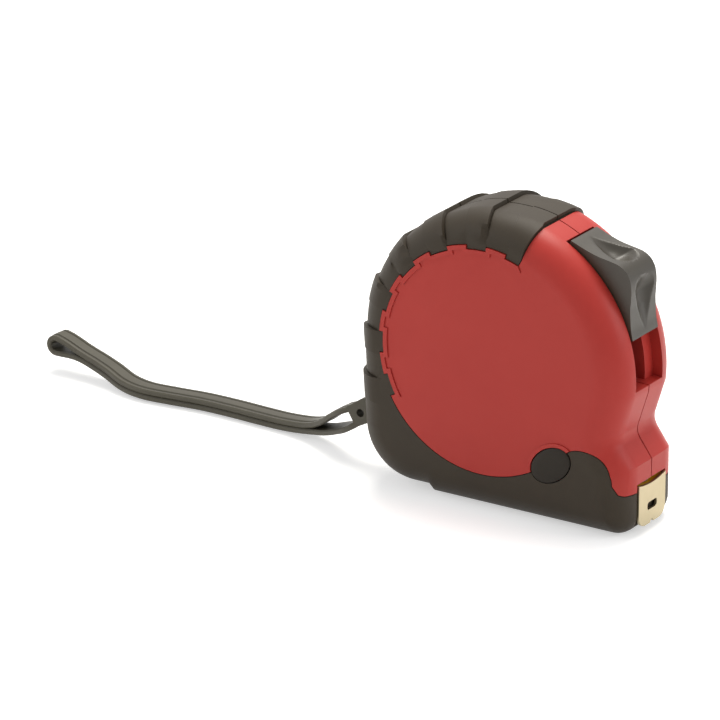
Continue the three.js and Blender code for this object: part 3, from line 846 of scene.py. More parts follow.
    def rib_starts(self) -> list[float]:
        """Returns each rib's front step, as a station."""
        angles = [self.rib_first + self.rib_pitch * i for i in range(self.rib_count)]
        return [self.station(*polar(self.face, self.rim - self.rib_root, angle)) for angle in angles]

    def edge_line(self, inset: float = 0.0) -> list[Point]:
        """Returns the toothed part of the jacket's edge on the side face, front to back.

        Args:
            inset: how far inside the red face the line runs.

        Returns:
            The line's points.
        """
        low, high = self.rim - self.long_tooth - inset, self.rim - self.short_tooth - inset
        spread = math.degrees(inset / low)
        line = []
        for i in range(self.rib_count):
            start = self.rib_first + i * self.rib_pitch
            first = start + self.first_trim - spread if i == 0 else start - spread
            line += arc(self.face, low, first, start + self.rib_width + spread)
            if i < self.rib_count - 1:
                after = start + self.rib_pitch - spread
                line += arc(self.face, high, start + self.rib_width + spread, after)
        return line

    def sweep_line(self) -> list[Point]:
        """Returns the smooth rest of that edge: under the face, over the hump, to the mouth."""
        last = self.rib_first + (self.rib_count - 1) * self.rib_pitch + self.rib_width
        return [
            *arc(self.face, self.rim - self.sweep_inset, last, self.sweep_end),
            *arc((self.nose_x - self.hump_back, self.hump_up), self.hump_radius, self.hump_start, 0, 6),
            (self.nose_x - self.shoulder[0], self.shoulder[1]),
            (self.nose_x - self.mouth_back, self.mouth_seam),
        ]

    def region(self) -> list[Point]:
        """Returns everything the jacket covers, seen from the side."""
        far = 70.0
        tip = polar(self.face, self.rim - self.sweep_inset, self.front_angle)
        top = polar(tip, far / 3, self.front_lean)
        inside = [*self.edge_line(), *self.sweep_line()]
        round_about = [(-far, top[1]), (-far, -far), (far, -far), (far, self.mouth_seam)]
        return [top, *round_about, *reversed(inside), tip]

    def blank(self, inset: float = 0.0) -> Solid:
        """Returns the whole case as one solid, or the core that lies an inset inside it."""
        outline = grown(self.outline(), -inset) if inset else self.outline()
        return self.toe_rounded(Solid.pillow(outline, self.half_width - inset, self.edge - inset), inset)

    def toe_rounded(self, solid: Solid, inset: float = 0.0) -> Solid:
        """Rounds the foot of the nose without losing the round edges on either side of it.

        Args:
            solid: the whole case, or a core of it.
            inset: how far the core lies inside the case.

        Returns:
            The same solid.
        """
        reach = self.toe_radius - inset
        x, z = self.nose_x - self.toe_radius, self.toe_radius
        shares = [i / self.toe_strips for i in range(self.toe_strips)]
        upright = [((x + reach * share, 0, 0), (1, 0, 0)) for share in shares]
        level = [((0, 0, z - reach * share), (0, 0, 1)) for share in shares]

        def tuck(place: Vector, _: Vector) -> Vector:
            """Moves a point of the square corner to the same share of a round one.

            Args:
                place: where the point is.
                _: its normal, which has no part in this.

            Returns:
                Where it goes.
            """
            ahead, below = (place.x - x) / reach, (z - place.z) / reach
            if ahead <= 0 or below <= 0:
                return place
            scale = reach * max(ahead, below) / math.hypot(ahead, below)
            return Vector((x + ahead * scale, place.y, z - below * scale))

        return solid.sliced([*upright, *level]).reshaped(tuck)

    def ribbed(self) -> Solid:
        """Returns the whole case with its ribs raised, highest at the front of each."""
        starts = self.rib_starts()
        window = (self.lean_start, self.ribs_end)
        side_fade = 0.07  # share of the round edge over which a rib dies out at the flat side
        blank = self.toe_rounded(Solid.pillow(self.ribbed_outline(), self.half_width, self.edge))

        def raise_rib(place: Vector, normal: Vector) -> Vector:
            """Lifts a point off the surface where a rib passes, and leans the rib's front step.

            Args:
                place: where the point is.
                normal: the surface's direction there.

            Returns:
                Where it goes.
            """
            station = self.station(place.x, place.z)
            radius = math.dist((place.x, place.z), self.axis)
            if not window[0] < station < window[1] or radius < self.rim - self.edge - 0.5:
                return place
            climb = min(1.0, max(0.0, (self.half_width - abs(place.y)) / self.edge))
            lifted = place + normal * self.rib_rise(station, starts) * min(1.0, climb / side_fade)
            grow = min(1.0, (station - self.lean_start) / self.lean_grow)
            fade = min(1.0, max(0.0, (self.lean_end - station) / self.lean_fade))
            lean = math.radians(-self.rib_lean * climb * fade * grow)
            centre = Matrix.Translation((0, 0, self.axis_z))
            return centre @ Matrix.Rotation(lean, 4, "Y") @ centre.inverted() @ lifted

        return blank.reshaped(raise_rib)

    def rib_rise(self, station: float, starts: list[float]) -> float:
        """Works out how far the jacket stands up: a groove, a rib's front step, then a slow fall.

        Args:
            station: the place on the rim.
            starts: the station of each rib's front.

        Returns:
            The height above the plain case.
        """
        if any(self.step_gap / 2 < start - station < self.step_gap * 1.5 for start in starts):
            return -self.rib_groove
        passed = [start for start in starts if station > start - self.step_gap / 2]
        if not passed or station > passed[-1] + self.rib_pitch:
            return 0.0
        along = station - passed[-1]
        if along < self.rib_width - self.step_gap / 2:
            return self.rib_height - (self.rib_height - self.rib_end) * along / self.rib_width
        left = (self.rib_pitch - along) / (self.rib_pitch - self.rib_width)
        return (self.rib_end - self.rib_drop) * max(0.0, left)

    def openings(self) -> list[Solid]:
        """Returns what both the red halves and the jackets leave open."""
        hole = grown(BrakeButton().outline(), self.button_gap)
        pin = (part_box("strap_pin")[0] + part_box("strap_pin")[1]) / 2 / MM
        pocket_half = self.slot_half + self.play
        return [
            Solid.prism(hole, -self.half_width - self.beyond, -self.cavity_half * 0.9),
            Solid.block(
                (self.nose_x - self.pocket_depth, -pocket_half, self.pocket_bottom),
                (self.nose_x + self.beyond, pocket_half, self.mouth_top),
            ),
            Solid.block(
                (self.cavity / 3, -self.blade_half, self.mouth_bottom),
                (self.nose_x + self.beyond, self.blade_half, self.mouth_top - self.play / 2),
            ),
            Solid.block(
                (-self.rim - self.beyond, *self.anchor_low),
                (-self.rim + self.anchor_depth, *self.anchor_high),
            ),
            Solid.rod((pin.x, 0, pin.z), self.pin_radius, self.pin_length, "Y", 24),
            *[self.screw_room(i) for i in range(1, 5)],
        ]

    def screw_room(self, number: int) -> Solid:
        """Makes the sunk hole that a case screw sits in, open on the left face.

        Args:
            number: which of the case screws.

        Returns:
            The hole, as a tool to cut with.
        """
        low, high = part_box(f"case_screw_{number}")
        middle = (low + high) / 2 / MM
        radius = (high.x - low.x) / 2 / MM + self.screw_gap
        seat, outside = self.half_width - self.screw_depth, self.half_width + 2
        centre = (middle.x, (seat + outside) / 2, middle.z)
        return Solid.rod(centre, radius, outside - seat, "Y", 40)

    def hollow(self) -> list[Solid]:
        """Returns the reel's room, the lock's track and its slit."""
        track = [
            *arc(self.axis, self.rim + 3 * self.beyond, self.slot_bottom, self.slot_top),
            *arc(self.axis, self.slot_floor, self.slot_top, self.slot_bottom),
        ]
        slit = [
            *arc(self.axis, self.slot_floor + 0.5, self.slot_bottom, self.slot_top),
            *arc(self.axis, self.cavity - 1, self.slot_top, self.slot_bottom),
        ]
        return [
            Solid.rod((0, 0, self.axis_z), self.cavity, 2 * self.cavity_half, "Y", 96),
            Solid.prism(track, -self.slot_half, self.slot_half),
            Solid.prism(slit, -self.slit_right, self.slit_left),
        ]

    def lips(self) -> list[Solid]:
        """Returns the raised line that follows the teeth inside each red face."""
        outside, inside = self.edge_line(-0.1), self.edge_line(self.groove + self.lip_width)
        band = [*outside, *reversed(inside)]
        reach = self.half_width + self.lip_height
        return [
            Solid.prism(band, -reach, -self.half_width + 1),
            Solid.prism(band, self.half_width - 1, reach),
        ]

    def button_lip(self) -> Solid:
        """Returns the raised ring round the brake button, kept on the red part only."""
        outline = BrakeButton().outline()
        face_y, reach = -self.half_width, self.half_width + self.beyond
        ring = Solid.prism(grown(outline, self.button_rim), face_y - self.lip_height, face_y + 1)
        ring.cut(Solid.prism(grown(outline, self.button_gap), face_y - 2, face_y + 2))
        return ring.cut(Solid.prism(grown(self.region(), self.groove), -reach, reach))

    def build_red(self) -> None:
        """Builds both red halves."""
        region, reach = grown(self.region(), self.groove), self.half_width + self.beyond
        shell = self.blank().join(*self.lips())
        shell.cut(Solid.prism(region, -reach, reach))
        shell.join(self.button_lip())
        shell.join(self.blank(self.skin + self.skin_gap))
        shell.cut(*self.hollow(), *self.openings())
        shell.tidied()
        for sign, name in ((-1, "case_right"), (1, "case_left")):
            half = shell.half(sign, self.seam).softened(0.16, 2)
            half.piece(f"red_{name}", "case", RED_ABS, [name])
        shell.discard()

    def build_jackets(self) -> None:
        """Builds both rubber jackets."""
        reach = self.half_width + self.beyond
        jacket = self.ribbed().within(Solid.prism(self.region(), -reach, reach))
        jacket.cut(self.blank(self.skin), *self.openings()).tidied()
        for sign, name in ((-1, "jacket_right"), (1, "jacket_left")):
            half = jacket.half(sign, self.seam).softened(0.18)
            half.piece(f"rubber_{name}", "case", RUBBER, [name])
        jacket.discard()


# ---------------------------------------------------------------- controls


@dataclass
class BrakeButton:
    """The oval button in the right jacket that slows the reel."""

    half_length: float = 6.1
    half_width: float = 4.1
    tilt: float = 35.0
    crown: float = 0.45
    proud: float = 0.1
    side: float = 3.6  # height of the straight side under the crown
    flange: float = 0.9
    flange_thickness: float = 0.8
    spring_gap: float = 0.15
    pad_offset: float = 3.3
    pad_radius: float = 1.3
    overlap: float = 0.2  # how deep the pad sinks into the flange

    # the crown's rings from the edge inwards: each one's width and its rise
    CROWN: ClassVar[tuple[Point, ...]] = (
        (0.12, 0.08), (0.18, 0.08), (0.45, 0.1), (0.8, 0.08), (1.0, 0.05),
    )

    def centre(self) -> Point:
        """Returns the button's middle on the side face."""
        low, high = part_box("brake_button")
        return ((low.x + high.x) / 2 / MM, (low.z + high.z) / 2 / MM)

    def outline(self) -> list[Point]:
        """Returns the button's outline on the side face."""
        return oval(self.centre(), self.half_length, self.half_width, self.tilt)

    def build(self) -> None:
        """Builds the button: a crowned oval on its retaining flange, with the brake pad behind."""
        low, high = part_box("brake_button")
        face_y = low.y / MM + self.crown - self.proud
        outline = self.outline()
        bm = bmesh.new()
        face = bm.faces.new([bm.verts.new((x, face_y + self.side, z)) for x, z in outline])
        made = bmesh.ops.extrude_face_region(bm, geom=[face])
        top = [part for part in made["geom"] if isinstance(part, bmesh.types.BMFace)]
        verts = [part for part in made["geom"] if isinstance(part, bmesh.types.BMVert)]
        bmesh.ops.translate(bm, verts=verts, vec=(0, -self.side, 0))
        bmesh.ops.recalc_face_normals(bm, faces=bm.faces)
        for thickness, rise in self.CROWN:
            bmesh.ops.inset_region(bm, faces=top, thickness=thickness, depth=0, use_even_offset=True)
            bmesh.ops.translate(bm, verts=list({v for f in top for v in f.verts}), vec=(0, -rise, 0))
        button = Solid(bm)
        flange_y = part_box("brake_spring")[0].y / MM - self.spring_gap
        button.join(Solid.prism(grown(outline, self.flange), flange_y - self.flange_thickness, flange_y))
        x, z = polar(self.centre(), self.pad_offset, self.tilt + 90)
        pad_start, pad_end = flange_y - self.overlap, high.y / MM
        pad = (x, (pad_start + pad_end) / 2, z)
        button.join(Solid.rod(pad, self.pad_radius, pad_end - pad_start, "Y", 32))
        button.softened(0.1, angle=60)
        button.piece("rubber_brake_button", "button", BUTTON_RUBBER, ["brake_button"])


@dataclass(frozen=True)
class Scoop:
    """A teardrop hollow in the thumb lock, laid out along the angle round the reel.

    Attributes:
        point: the angle of its pointed end.
        deep: the angle of its deepest place.
        blunt: the angle of its blunt end.
        depth: how deep it is.
        half_width: half its width at the deepest place.
        tip: half its width at the point.
        shift: how far its middle lies off the lock's.
    """

    point: float
    deep: float
    blunt: float
    depth: float
    half_width: float = 4.6
    tip: float = 0.3
    shift: float = 0.4

    def depth_at(self, angle: float, across: float) -> float:
        """Reads the hollow's depth at a place on the lock.

        Args:
            angle: the place's angle round the reel.
            across: its distance from the lock's middle.

        Returns:
            The depth, 0 outside the hollow.
        """
        along = (angle - self.point) / (self.deep - self.point)
        past = (angle - self.deep) / (self.blunt - self.deep)
        if along <= 0 or past >= 1:
            return 0.0
        if along <= 1:
            width, fall = self.tip + (self.half_width - self.tip) * along, along**1.3
        else:
            width, fall = self.half_width * math.sqrt(1 - past**2), 1 - past**2
        share = abs(across - self.shift) / max(width, 1e-6)
        return self.depth * fall * max(0.0, 1 - share**2)


@dataclass
class ThumbLock:
    """The lock that slides down the front slot and pinches the blade."""

    rim: float
    cavity: float
    axis: Point
    half_width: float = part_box("thumb_lock")[1].y / MM
    top_angle: float = 60.8
    bottom_angle: float = 17.3
    base: float = 2.4
    shoe_top: float = 46.0
    shoe_tip: float = -38.0
    shoe_inner: float = 30.2
    shoe_gap: float = 0.4
    shoe_half: float = 5.0
    stem_half: float = 2.2
    stem_inset: float = 2.0

    # the lock's side outline: angle round the reel, and height above the case's rim
    CREST: ClassVar[list[Point]] = [
        (17.3, 0.4), (22, 0.9), (28, 2.6), (31, 4.0), (34, 5.5), (37, 6.6),
        (40, 6.9), (43, 6.2), (46, 4.7), (50, 2.9), (55, 1.6), (60.8, 0.8),
    ]
    SCOOPS: ClassVar[tuple[Scoop, ...]] = (Scoop(58.5, 46.0, 42.0, 2.9), Scoop(19.0, 33.0, 36.6, 2.6))

    def height(self, angle: float, across: float) -> float:
        """Returns the lock's outer radius at an angle and a distance from the middle."""
        hollow = sum(scoop.depth_at(angle, across) for scoop in self.SCOOPS)
        return self.rim + between(self.CREST, angle) - hollow

    def build(self) -> None:
        """Builds the pad from a grid wrapped round the reel's axis, then its stem and shoe."""
        bm = bmesh.new()
        bmesh.ops.create_grid(bm, x_segments=96, y_segments=40, size=1)
        for vert in bm.verts:
            angle = self.bottom_angle + (self.top_angle - self.bottom_angle) * (vert.co.x + 1) / 2
            across = vert.co.y * self.half_width
            x, z = polar(self.axis, self.height(angle, across), angle)
            vert.co = (x, across, z)
        rim = [edge for edge in bm.edges if edge.is_boundary]
        made = bmesh.ops.extrude_edge_only(bm, edges=rim)["geom"]
        for vert in [part for part in made if isinstance(part, bmesh.types.BMVert)]:
            out = Vector((vert.co.x - self.axis[0], 0, vert.co.z - self.axis[1])).normalized()
            vert.co = Vector((self.axis[0], vert.co.y, self.axis[1])) + out * (self.rim - self.base)
        bmesh.ops.holes_fill(bm, edges=[edge for edge in bm.edges if edge.is_boundary], sides=0)
        lock = Solid(bm)
        stem_bottom = self.bottom_angle + self.stem_inset
        stem = [
            *arc(self.axis, self.rim - self.base + self.shoe_gap, stem_bottom, self.shoe_top),
            *arc(self.axis, self.cavity - self.stem_inset, self.shoe_top, stem_bottom),
        ]
        shoe = [
            *arc(self.axis, self.cavity - self.shoe_gap, self.shoe_tip, self.shoe_top),
            *arc(self.axis, self.shoe_inner, self.shoe_top, self.shoe_tip),
        ]
        lock.join(Solid.prism(stem, -self.stem_half, self.stem_half))
        lock.join(Solid.prism(shoe, -self.shoe_half, self.shoe_half))
        lock.softened(0.22, 3, 55).piece("nylon_thumb_lock", "lock", LOCK_NYLON, ["thumb_lock"], 28)


# ---------------------------------------------------------------- metal parts


@dataclass
class EndHook:
    """The hook at the blade's end, with its slot and nail notch."""

    CORNERS: ClassVar[tuple[Point, ...]] = ((-1, -1), (1, -1), (1, 1), (-1, 1))
    thickness: float = 0.8
    corner: float = 3.2
    dip: float = 0.8
    rise: float = 1.7
    notch: float = 0.8
    slot_up: float = 4.7
    slot_half: Point = (2.3, 1.0)
    slot_corner: float = 0.7
    tongue_inset: float = 1.8
    tongue_drop: float = 0.95

    def plate(self, low: Vector, high: Vector) -> list[Point]:
        """Draws the front plate across Y and Z: hollow top edge, round lower corners, nail notch.

        Args:
            low: the lowest corner of the hook's box.
            high: the highest corner of it.

        Returns:
            The plate's closed outline.
        """
        half, bottom, top = high.y, low.z, high.z + self.rise
        radius = (half**2 + self.dip**2) / (2 * self.dip)
        sweep = math.degrees(math.asin(half / radius))
        centre = (0.0, top - self.dip + radius)
        return [
            *arc((0.0, bottom), self.notch, 180, 0, 15),
            *rounded((0, bottom), (half, bottom), (half, top), self.corner),
            *reversed(arc(centre, radius, 270 - sweep, 270 + sweep, 2)),
            *rounded((-half, top), (-half, bottom), (0, bottom), self.corner),
        ]

    def build(self) -> None:
        """Builds the plate and the tongue under the blade."""
        low, high = (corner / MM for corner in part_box("end_hook"))
        back = high.x - self.thickness
        hook = Solid.prism(self.plate(low, high), back, high.x, "X")
        middle = low.z + self.slot_up
        corners = [(y * self.slot_half[0], middle + z * self.slot_half[1]) for y, z in self.CORNERS]
        slot = [
            point
            for i, corner in enumerate(corners)
            for point in rounded(corners[i - 1], corner, corners[(i + 1) % 4], self.slot_corner, 6)
        ]
        hook.cut(Solid.prism(slot, back - 1, high.x + 1, "X"))
        tongue, top = high.y - self.tongue_inset, high.z - self.tongue_drop
        hook.join(Solid.block((low.x, -tongue, top - self.thickness), (back + 0.3, tongue, top)))
        hook.softened(0.12, 2, 40).piece("plated_end_hook", "hook", PLATED_STEEL, ["end_hook"])


@dataclass
class BeltClip:
    """The sprung steel clip on the left face."""

    thickness: float = 0.8
    corner: float = 3.0
    flare: float = 2.2
    grip: float = 0.55
    hole: float = 1.7

    def profile(self, low: Vector, high: Vector, screw_z: float) -> list[Point]:
        """Lists how far out the clip stands at a few heights, from its flared end up.

        Args:
            low: the lowest corner of the clip's box.
            high: the highest corner of it.
            screw_z: the height of its screw.

        Returns:
            (height, distance) pairs.
        """
        seat, stand = low.y, high.y - low.y - self.thickness
        bend = screw_z - 5
        return [
            (low.z, seat + self.flare), (low.z + 4.2, seat + self.grip), (low.z + 12, seat + stand * 0.8),
            (bend - 13, seat + stand), (bend - 5, seat + stand * 0.75), (bend, seat + 0.15),
            (bend + 2, seat), (high.z, seat),
        ]

    def build(self) -> None:
        """Builds the clip as a bent strip with a hole for its screw."""
        low, high = (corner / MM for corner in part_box("belt_clip"))
        screw_low, screw_high = (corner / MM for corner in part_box("belt_clip_screw"))
        screw = (screw_low + screw_high) / 2
        knots = self.profile(low, high, screw.z)
        half = (high.x - low.x) / 2
        bm = bmesh.new()
        bmesh.ops.create_grid(bm, x_segments=72, y_segments=10, size=1)
        for vert in bm.verts:
            z = low.z + (high.z - low.z) * (vert.co.x + 1) / 2
            reach = (high.z - z) if z > screw.z else (z - low.z)
            pinch = max(0.0, 1 - reach / self.corner)
            across = vert.co.y * (half - self.corner * (1 - math.sqrt(max(0.0, 1 - pinch**2))))
            vert.co = ((low.x + high.x) / 2 + across, between(knots, z), z)
        bmesh.ops.recalc_face_normals(bm, faces=bm.faces)
        if next(iter(bm.faces)).normal.y > 0:
            bmesh.ops.reverse_faces(bm, faces=bm.faces)
        bmesh.ops.solidify(bm, geom=list(bm.faces), thickness=self.thickness)
        clip = Solid(bm).cut(Solid.rod((screw.x, low.y, screw.z), self.hole, 8, "Y", 40))
        clip.softened(0.15, 2, 50).piece("plated_belt_clip", "case", PLATED_STEEL, ["belt_clip"])


# ---------------------------------------------------------------- wrist strap


@dataclass
class WristStrap:
    """The moulded strap: two strands folded back on each other, and its head."""

    width: float = 6.2
    strand: float = 1.55
    loop_radius: float = 2.15
    groove: float = 0.35
    touch_gap: float = 0.04
    lies_at: float = 0.02  # height of the table under it
    pin: Point = (-36.0, 18.6)
    head_angle: float = 211.3
    head_reach: float = 12.8
    strands_start: Point = (-0.5, 2.7)  # the route's first two points, past the head's end
    cord_exit: float = 3.0
    eye_radius: float = 2.6
    waist: float = 7.6
    waist_half: float = 3.2
    end_half: float = 2.85
    pin_hole: float = 1.3
    head_hole: float = 1.1
    hole_reach: float = 9.5

    # half of the gap that opens between the strands: distance from the head, then from the fold
    NEAR_HEAD: ClassVar[list[Point]] = [(0, 1.2), (3, 1.6), (7, 1.4), (12, 0.8), (17, 0.2), (21, 0)]
    NEAR_FOLD: ClassVar[list[Point]] = [(2, 1.1), (7, 0.2), (10, 0), (14, 0)]

    def on_head(self, reach: float, across: float = 0.0) -> Point:
        """Returns a point of the head: how far from the pin, and how far across."""
        return polar(polar(self.pin, reach, self.head_angle), across, self.head_angle + 90)

    def route(self) -> list[Vector]:
        """Returns the middle of the doubled strap, from just behind its head to its fold."""
        places = [self.on_head(self.head_reach + past) for past in self.strands_start]
        start = [Vector((x, 0, z)) for x, z in places]
        rest = [
            (-53.3, 1.5, 8.2), (-58.7, 3.7, 5.2), (-65.1, 5.6, 3.1), (-72.8, 6.7, 2.05),
            (-80.4, 7, 1.95), (-89, 7.4, 1.95), (-98.7, 7.4, 1.95), (-108.5, 6.3, 1.95),
            (-116.2, 5.6, 2.05), (-122.8, 6.6, 2.5), (-129.6, 8.9, 3.8), (-136.4, 10.2, 5.4),
            (-142.7, 10.7, 6.8), (-148.5, 10.9, 7.6),
        ]
        return [*start, *(Vector(point) for point in rest)]

    def smooth_route(self, per_span: int = 8) -> list[Vector]:
        """Draws smooth curves between the route's points.

        Args:
            per_span: how many steps lie between two of them.

        Returns:
            The whole line.
        """
        points = self.route()
        made = []
        for i in range(len(points) - 1):
            p0, p1 = points[max(i - 1, 0)], points[i]
            p2, p3 = points[i + 1], points[min(i + 2, len(points) - 1)]
            for k in range(per_span):
                t = k / per_span
                made.append(
                    0.5
                    * (
                        2 * p1
                        + (p2 - p0) * t
                        + (2 * p0 - 5 * p1 + 4 * p2 - p3) * t**2
                        + (3 * p1 - p0 - 3 * p2 + p3) * t**3
                    )
                )
        return [*made, points[-1]]

    def spacing(self, from_head: float, from_fold: float) -> float:
        """Works out half the distance between the middles of the two strands.

        Args:
            from_head: the distance to the head along the strap.
            from_fold: the distance to the fold along it.

        Returns:
            Half the distance, in millimetres.
        """
        touching = self.strand / 2 + self.touch_gap
        near_fold = [(0, self.loop_radius - touching), *self.NEAR_FOLD]
        return touching + between(self.NEAR_HEAD, from_head) + between(near_fold, from_fold)

    def loop(self) -> list[tuple[Vector, Vector, Vector]]:
        """Traces the strand along one side, round the fold and back.

        Returns:
            Places, each with the direction out of the ribbed face and the one across it.
        """
        middle = self.smooth_route()
        lengths = [0.0]
        for a, b in zip(middle, middle[1:]):
            lengths.append(lengths[-1] + (b - a).length)
        total = lengths[-1]
        upper, lower = [], []
        for i, place in enumerate(middle):
            tangent = (middle[min(i + 1, len(middle) - 1)] - middle[max(i - 1, 0)]).normalized()
            across = (Vector((0, 1, 0)) - tangent * tangent.y).normalized()
            up = across.cross(tangent)
            if up.z < 0:
                up.negate()
            fold = total - lengths[i] - self.loop_radius * 0.4
            if fold < 0:
                break
            gap = self.spacing(lengths[i], max(fold, 0))
            upper.append((place + up * gap, up, across, tangent))
            lower.append((place - up * gap, -up, across, tangent))
        end, up, across, tangent = upper[-1]
        centre = (upper[-1][0] + lower[-1][0]) / 2
        radius = (upper[-1][0] - centre).length
        turn = []
        for k in range(1, 16):
            angle = math.pi * k / 16
            out = up * math.cos(angle) + tangent * math.sin(angle)
            turn.append((centre + out * radius, out, across))
        return [p[:3] for p in upper] + turn + [p[:3] for p in reversed(lower)]

    def section(self) -> list[Point]:
        """Returns the strand's cross section: across, and out of its ribbed face."""
        half, thick, groove = self.width / 2, self.strand / 2, self.groove
        # from the back face round the edge, over the raised rim and its groove, to the middle
        right = [
            (half - 0.35, -thick), (half, -thick + 0.35), (half, thick - 0.4), (half - 0.3, thick - 0.08),
            (half - 0.9, thick - 0.06), (half - 1.15, thick - groove), (half - 1.55, thick - groove),
            (half - 1.8, thick), (half - 2.3, thick + 0.03),
        ]
        return [*right, *((-across, out) for across, out in reversed(right))]

    def build(self) -> None:
        """Builds the strap as a grid wrapped round its line, and its head."""
        line, section = self.loop(), self.section()
        around = len(section)
        bm = bmesh.new()
        bmesh.ops.create_grid(bm, x_segments=len(line) - 1, y_segments=around, size=1)
        for vert in bm.verts:
            i = round((vert.co.x + 1) / 2 * (len(line) - 1))
            k = round((vert.co.y + 1) / 2 * around) % around
            place, out, across = line[i]
            side, rise = section[k]
            vert.co = place + across * side + out * rise
        bmesh.ops.remove_doubles(bm, verts=bm.verts, dist=1e-4)
        bmesh.ops.holes_fill(bm, edges=[edge for edge in bm.edges if edge.is_boundary], sides=0)
        strap = Solid(bm).reshaped(lambda at, _: Vector((at.x, at.y, max(at.z, self.lies_at))))
        piece = strap.piece("vinyl_wrist_strap", "case", STRAP_VINYL, ["wrist_strap"], 40)
        head = self.build_head()
        path = [point * MM for point in self.smooth_route()]

    def build_head(self) -> bpy.types.Object:
        """Builds the head: an eye round the pin that tapers to the strands, with a hole through it."""
        outline = [
            *arc(self.pin, self.eye_radius, self.head_angle + 90, self.head_angle + 270, 8),
            self.on_head(self.waist, -self.waist_half),
            self.on_head(self.head_reach, -self.end_half),
            self.on_head(self.head_reach, self.end_half),
            self.on_head(self.waist, self.waist_half),
        ]
        half = self.width / 2
        head = Solid.prism(outline, -half, half)
        x, z = self.pin
        head.cut(Solid.rod((x, 0, z), self.pin_hole, 2 * half + 2, "Y", 32))
        hole_x, hole_z = self.on_head(self.hole_reach)
        head.cut(Solid.rod((hole_x, 0, hole_z), self.head_hole, 2 * half + 2, "Y", 32))
        head.softened(0.35, 3, 40)
        return head.piece("vinyl_strap_head", "case", STRAP_VINYL, ["strap_head"])


# ---------------------------------------------------------------- carried-over nodes


class HiddenParts:
    """The frame's own nodes that keep their shape and get a real finish."""

    FINISHES: dict[str, Finish] = {
        "blade_coil": YELLOW_LACQUER,
        "blade_run": YELLOW_LACQUER,
        "reel_drum": BLACK_ACETAL,
        "reel_cover": BLACK_ACETAL,
        "mainspring": SPRING_STEEL,
        "brake_spring": SPRING_STEEL,
        "spring_post": PLATED_STEEL,
        "hook_rivet_1": PLATED_STEEL,
        "hook_rivet_2": PLATED_STEEL,
        "belt_clip_screw": PLATED_STEEL,
        "strap_pin": PLATED_STEEL,
        **{f"case_screw_{i}": PLATED_STEEL for i in range(1, 5)},
    }

    def dress(self) -> None:
        """Gives each node its material through the object's own slot."""
        for name, finish in self.FINISHES.items():
            node = frame["nodes"][name]
            material = finish.material()
            if not node.material_slots:
                node.data.materials.append(material)
            for slot in node.material_slots:
                slot.link = "OBJECT"
                slot.material = material
            log.info("%s: %s", name, finish.name)


# ---------------------------------------------------------------- studio


@dataclass(frozen=True)
class Lamp:
    """One square soft lamp.

    Attributes:
        name: its name.
        place: where it hangs, in metres.
        size: the length of its sides.
        power: its power in watts.
        colour: the colour of its light.
    """

    name: str
    place: Place
    size: float
    power: float
    colour: str = "#FFFFFF"


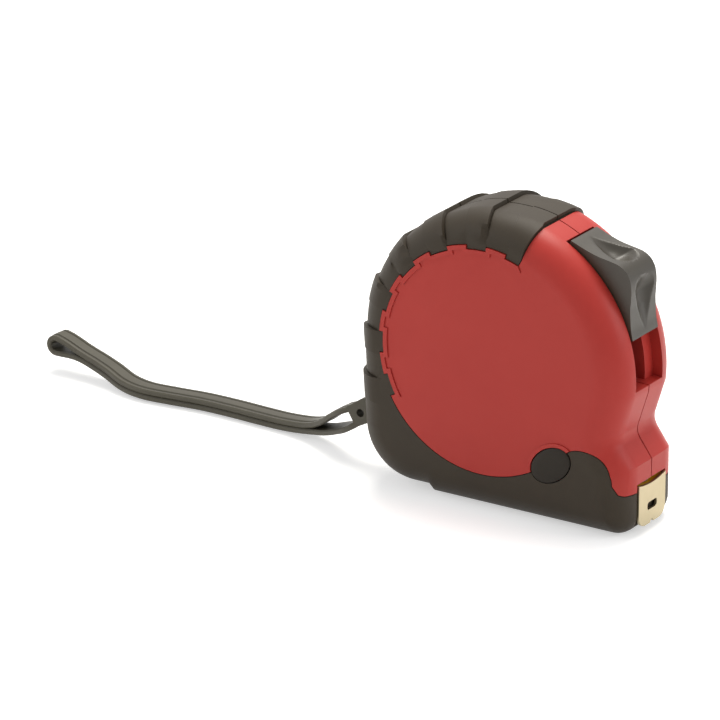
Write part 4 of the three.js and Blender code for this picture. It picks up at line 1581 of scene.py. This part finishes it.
@dataclass
class Studio:
    """The camera, the white table and the lamps."""

    # a broad warm lamp high behind the case, and weaker ones to its left and right
    LAMPS: ClassVar[tuple[Lamp, ...]] = (
        Lamp("top_lamp", (-0.12, 0.28, 0.8), 0.5, 8.0, "#FFFBF2"),
        Lamp("left_lamp", (-0.55, -0.55, 0.45), 0.5, 1.6),
        Lamp("right_lamp", (0.6, 0.2, 0.3), 0.35, 1.2),
    )
    AIM: ClassVar[Place] = (0.0, 0.0, 0.03)

    azimuth: float = 31.0
    elevation: float = 20.6
    distance: float = 1.4
    view_width: float = 0.17955
    right_of_middle: float = 0.0415
    above_middle: float = 0.0031
    subject_rise: float = 0.020  # the camera's subject above the lock's lowest place
    sensor: float = 36.0
    room_light: float = 0.47
    floor_glow: float = 0.5
    floor_half: float = 6.0
    floor_drop: float = 0.0002
    floor_colour: str = "#E2E2E2"

    def ray(self, azimuth: float, elevation: float) -> Vector:
        """Returns the direction of a look at an azimuth and an elevation."""
        a, e = math.radians(azimuth), math.radians(elevation)
        return Vector((-math.sin(a) * math.cos(e), math.cos(a) * math.cos(e), -math.sin(e)))

    def build_camera(self) -> None:
        """Sets a long lens that sees the case's axis at the given angles, off the middle of the frame."""
        data = bpy.data.cameras.new("camera")
        data.sensor_width = self.sensor
        data.lens = self.sensor * self.distance / self.view_width
        data.clip_start, data.clip_end = 0.05, 20
        camera = bpy.data.objects.new("camera", data)
        bpy.context.scene.collection.objects.link(camera)
        subject = Vector((0, 0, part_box("thumb_lock")[0].z + self.subject_rise))
        yaw = math.degrees(math.atan2(self.right_of_middle, self.distance))
        pitch = math.degrees(math.atan2(self.above_middle, self.distance))
        axis = self.ray(self.azimuth + yaw, self.elevation + pitch)
        camera.location = subject - self.ray(self.azimuth, self.elevation) * self.distance
        camera.rotation_euler = axis.to_track_quat("-Z", "Y").to_euler()
        bpy.context.scene.camera = camera

    def seen_plainly(self, tree: bpy.types.NodeTree) -> bpy.types.NodeSocket:
        """Tells the rays that look from the rays that light.

        Args:
            tree: the node tree to add to.

        Returns:
            1 for what the camera and glossy surfaces see, 0 for what lights the case.
        """
        path = add_node(tree, "ShaderNodeLightPath").outputs
        rays = {0: path["Is Camera Ray"], 1: path["Is Glossy Ray"]}
        return add_node(tree, "ShaderNodeMath", rays, operation="MAXIMUM").outputs["Value"]

    def build_floor(self) -> None:
        """Lays the white table, which keeps a soft shadow and shows white to the eye and to gloss."""
        bm = bmesh.new()
        bmesh.ops.create_grid(bm, x_segments=1, y_segments=1, size=self.floor_half)
        mesh = bpy.data.meshes.new("table")
        bm.to_mesh(mesh)
        bm.free()
        table = bpy.data.objects.new("table", mesh)
        table.location.z = -self.floor_drop
        bpy.context.scene.collection.objects.link(table)
        material = bpy.data.materials.new("white_table")
        material.use_nodes = True
        tree = material.node_tree
        tree.nodes.clear()
        plain = self.seen_plainly(tree)
        colour = {"Color": linear(self.floor_colour)}
        diffuse = add_node(tree, "ShaderNodeBsdfDiffuse", colour).outputs["BSDF"]
        glow = add_node(
            tree, "ShaderNodeEmission", {"Color": (1, 1, 1, 1), "Strength": self.floor_glow}
        ).outputs["Emission"]
        both = add_node(tree, "ShaderNodeAddShader", {0: diffuse, 1: glow}).outputs["Shader"]
        mixed = add_node(tree, "ShaderNodeMixShader", {0: plain, 1: diffuse, 2: both}).outputs["Shader"]
        add_node(tree, "ShaderNodeOutputMaterial", {"Surface": mixed})
        mesh.materials.append(material)

    def build_world(self) -> None:
        """Fills the room with even pale light and shows plain white behind the table."""
        world = bpy.data.worlds.new("room")
        bpy.context.scene.world = world
        world.use_nodes = True
        tree = world.node_tree
        tree.nodes.clear()
        plain = self.seen_plainly(tree)
        strength = add_node(
            tree, "ShaderNodeMapRange", {"Value": plain, "To Min": self.room_light, "To Max": 1.0}
        ).outputs["Result"]
        room = add_node(
            tree, "ShaderNodeBackground", {"Color": (1, 1, 1, 1), "Strength": strength}
        ).outputs["Background"]
        add_node(tree, "ShaderNodeOutputWorld", {"Surface": room})

    def build_lamp(self, lamp: Lamp) -> None:
        """Hangs one lamp and points it at the case.

        Args:
            lamp: what it is and where it goes.
        """
        data = bpy.data.lights.new(lamp.name, "AREA")
        data.size = lamp.size
        data.energy = lamp.power
        data.color = linear(lamp.colour)[:3]
        made = bpy.data.objects.new(lamp.name, data)
        made.location = lamp.place
        made.rotation_euler = (Vector(self.AIM) - Vector(lamp.place)).to_track_quat("-Z", "Y").to_euler()
        bpy.context.scene.collection.objects.link(made)

    def build(self) -> None:
        """Builds the camera first, then the table, the room's light and the lamps."""
        self.build_camera()
        self.build_floor()
        self.build_world()
        for lamp in self.LAMPS:
            self.build_lamp(lamp)
        bpy.context.scene.view_settings.view_transform = "Standard"


def main() -> None:
    """Builds every piece in order."""
    logging.basicConfig(level=logging.INFO, format="%(message)s")
    Studio().build()
    WristStrap().build()
    case = Case()
    case.build_red()
    case.build_jackets()
    ThumbLock(case.rim, case.cavity, case.axis).build()
    BrakeButton().build()
    EndHook().build()
    BeltClip().build()
    HiddenParts().dress()


if __name__ == "__main__":
    main()
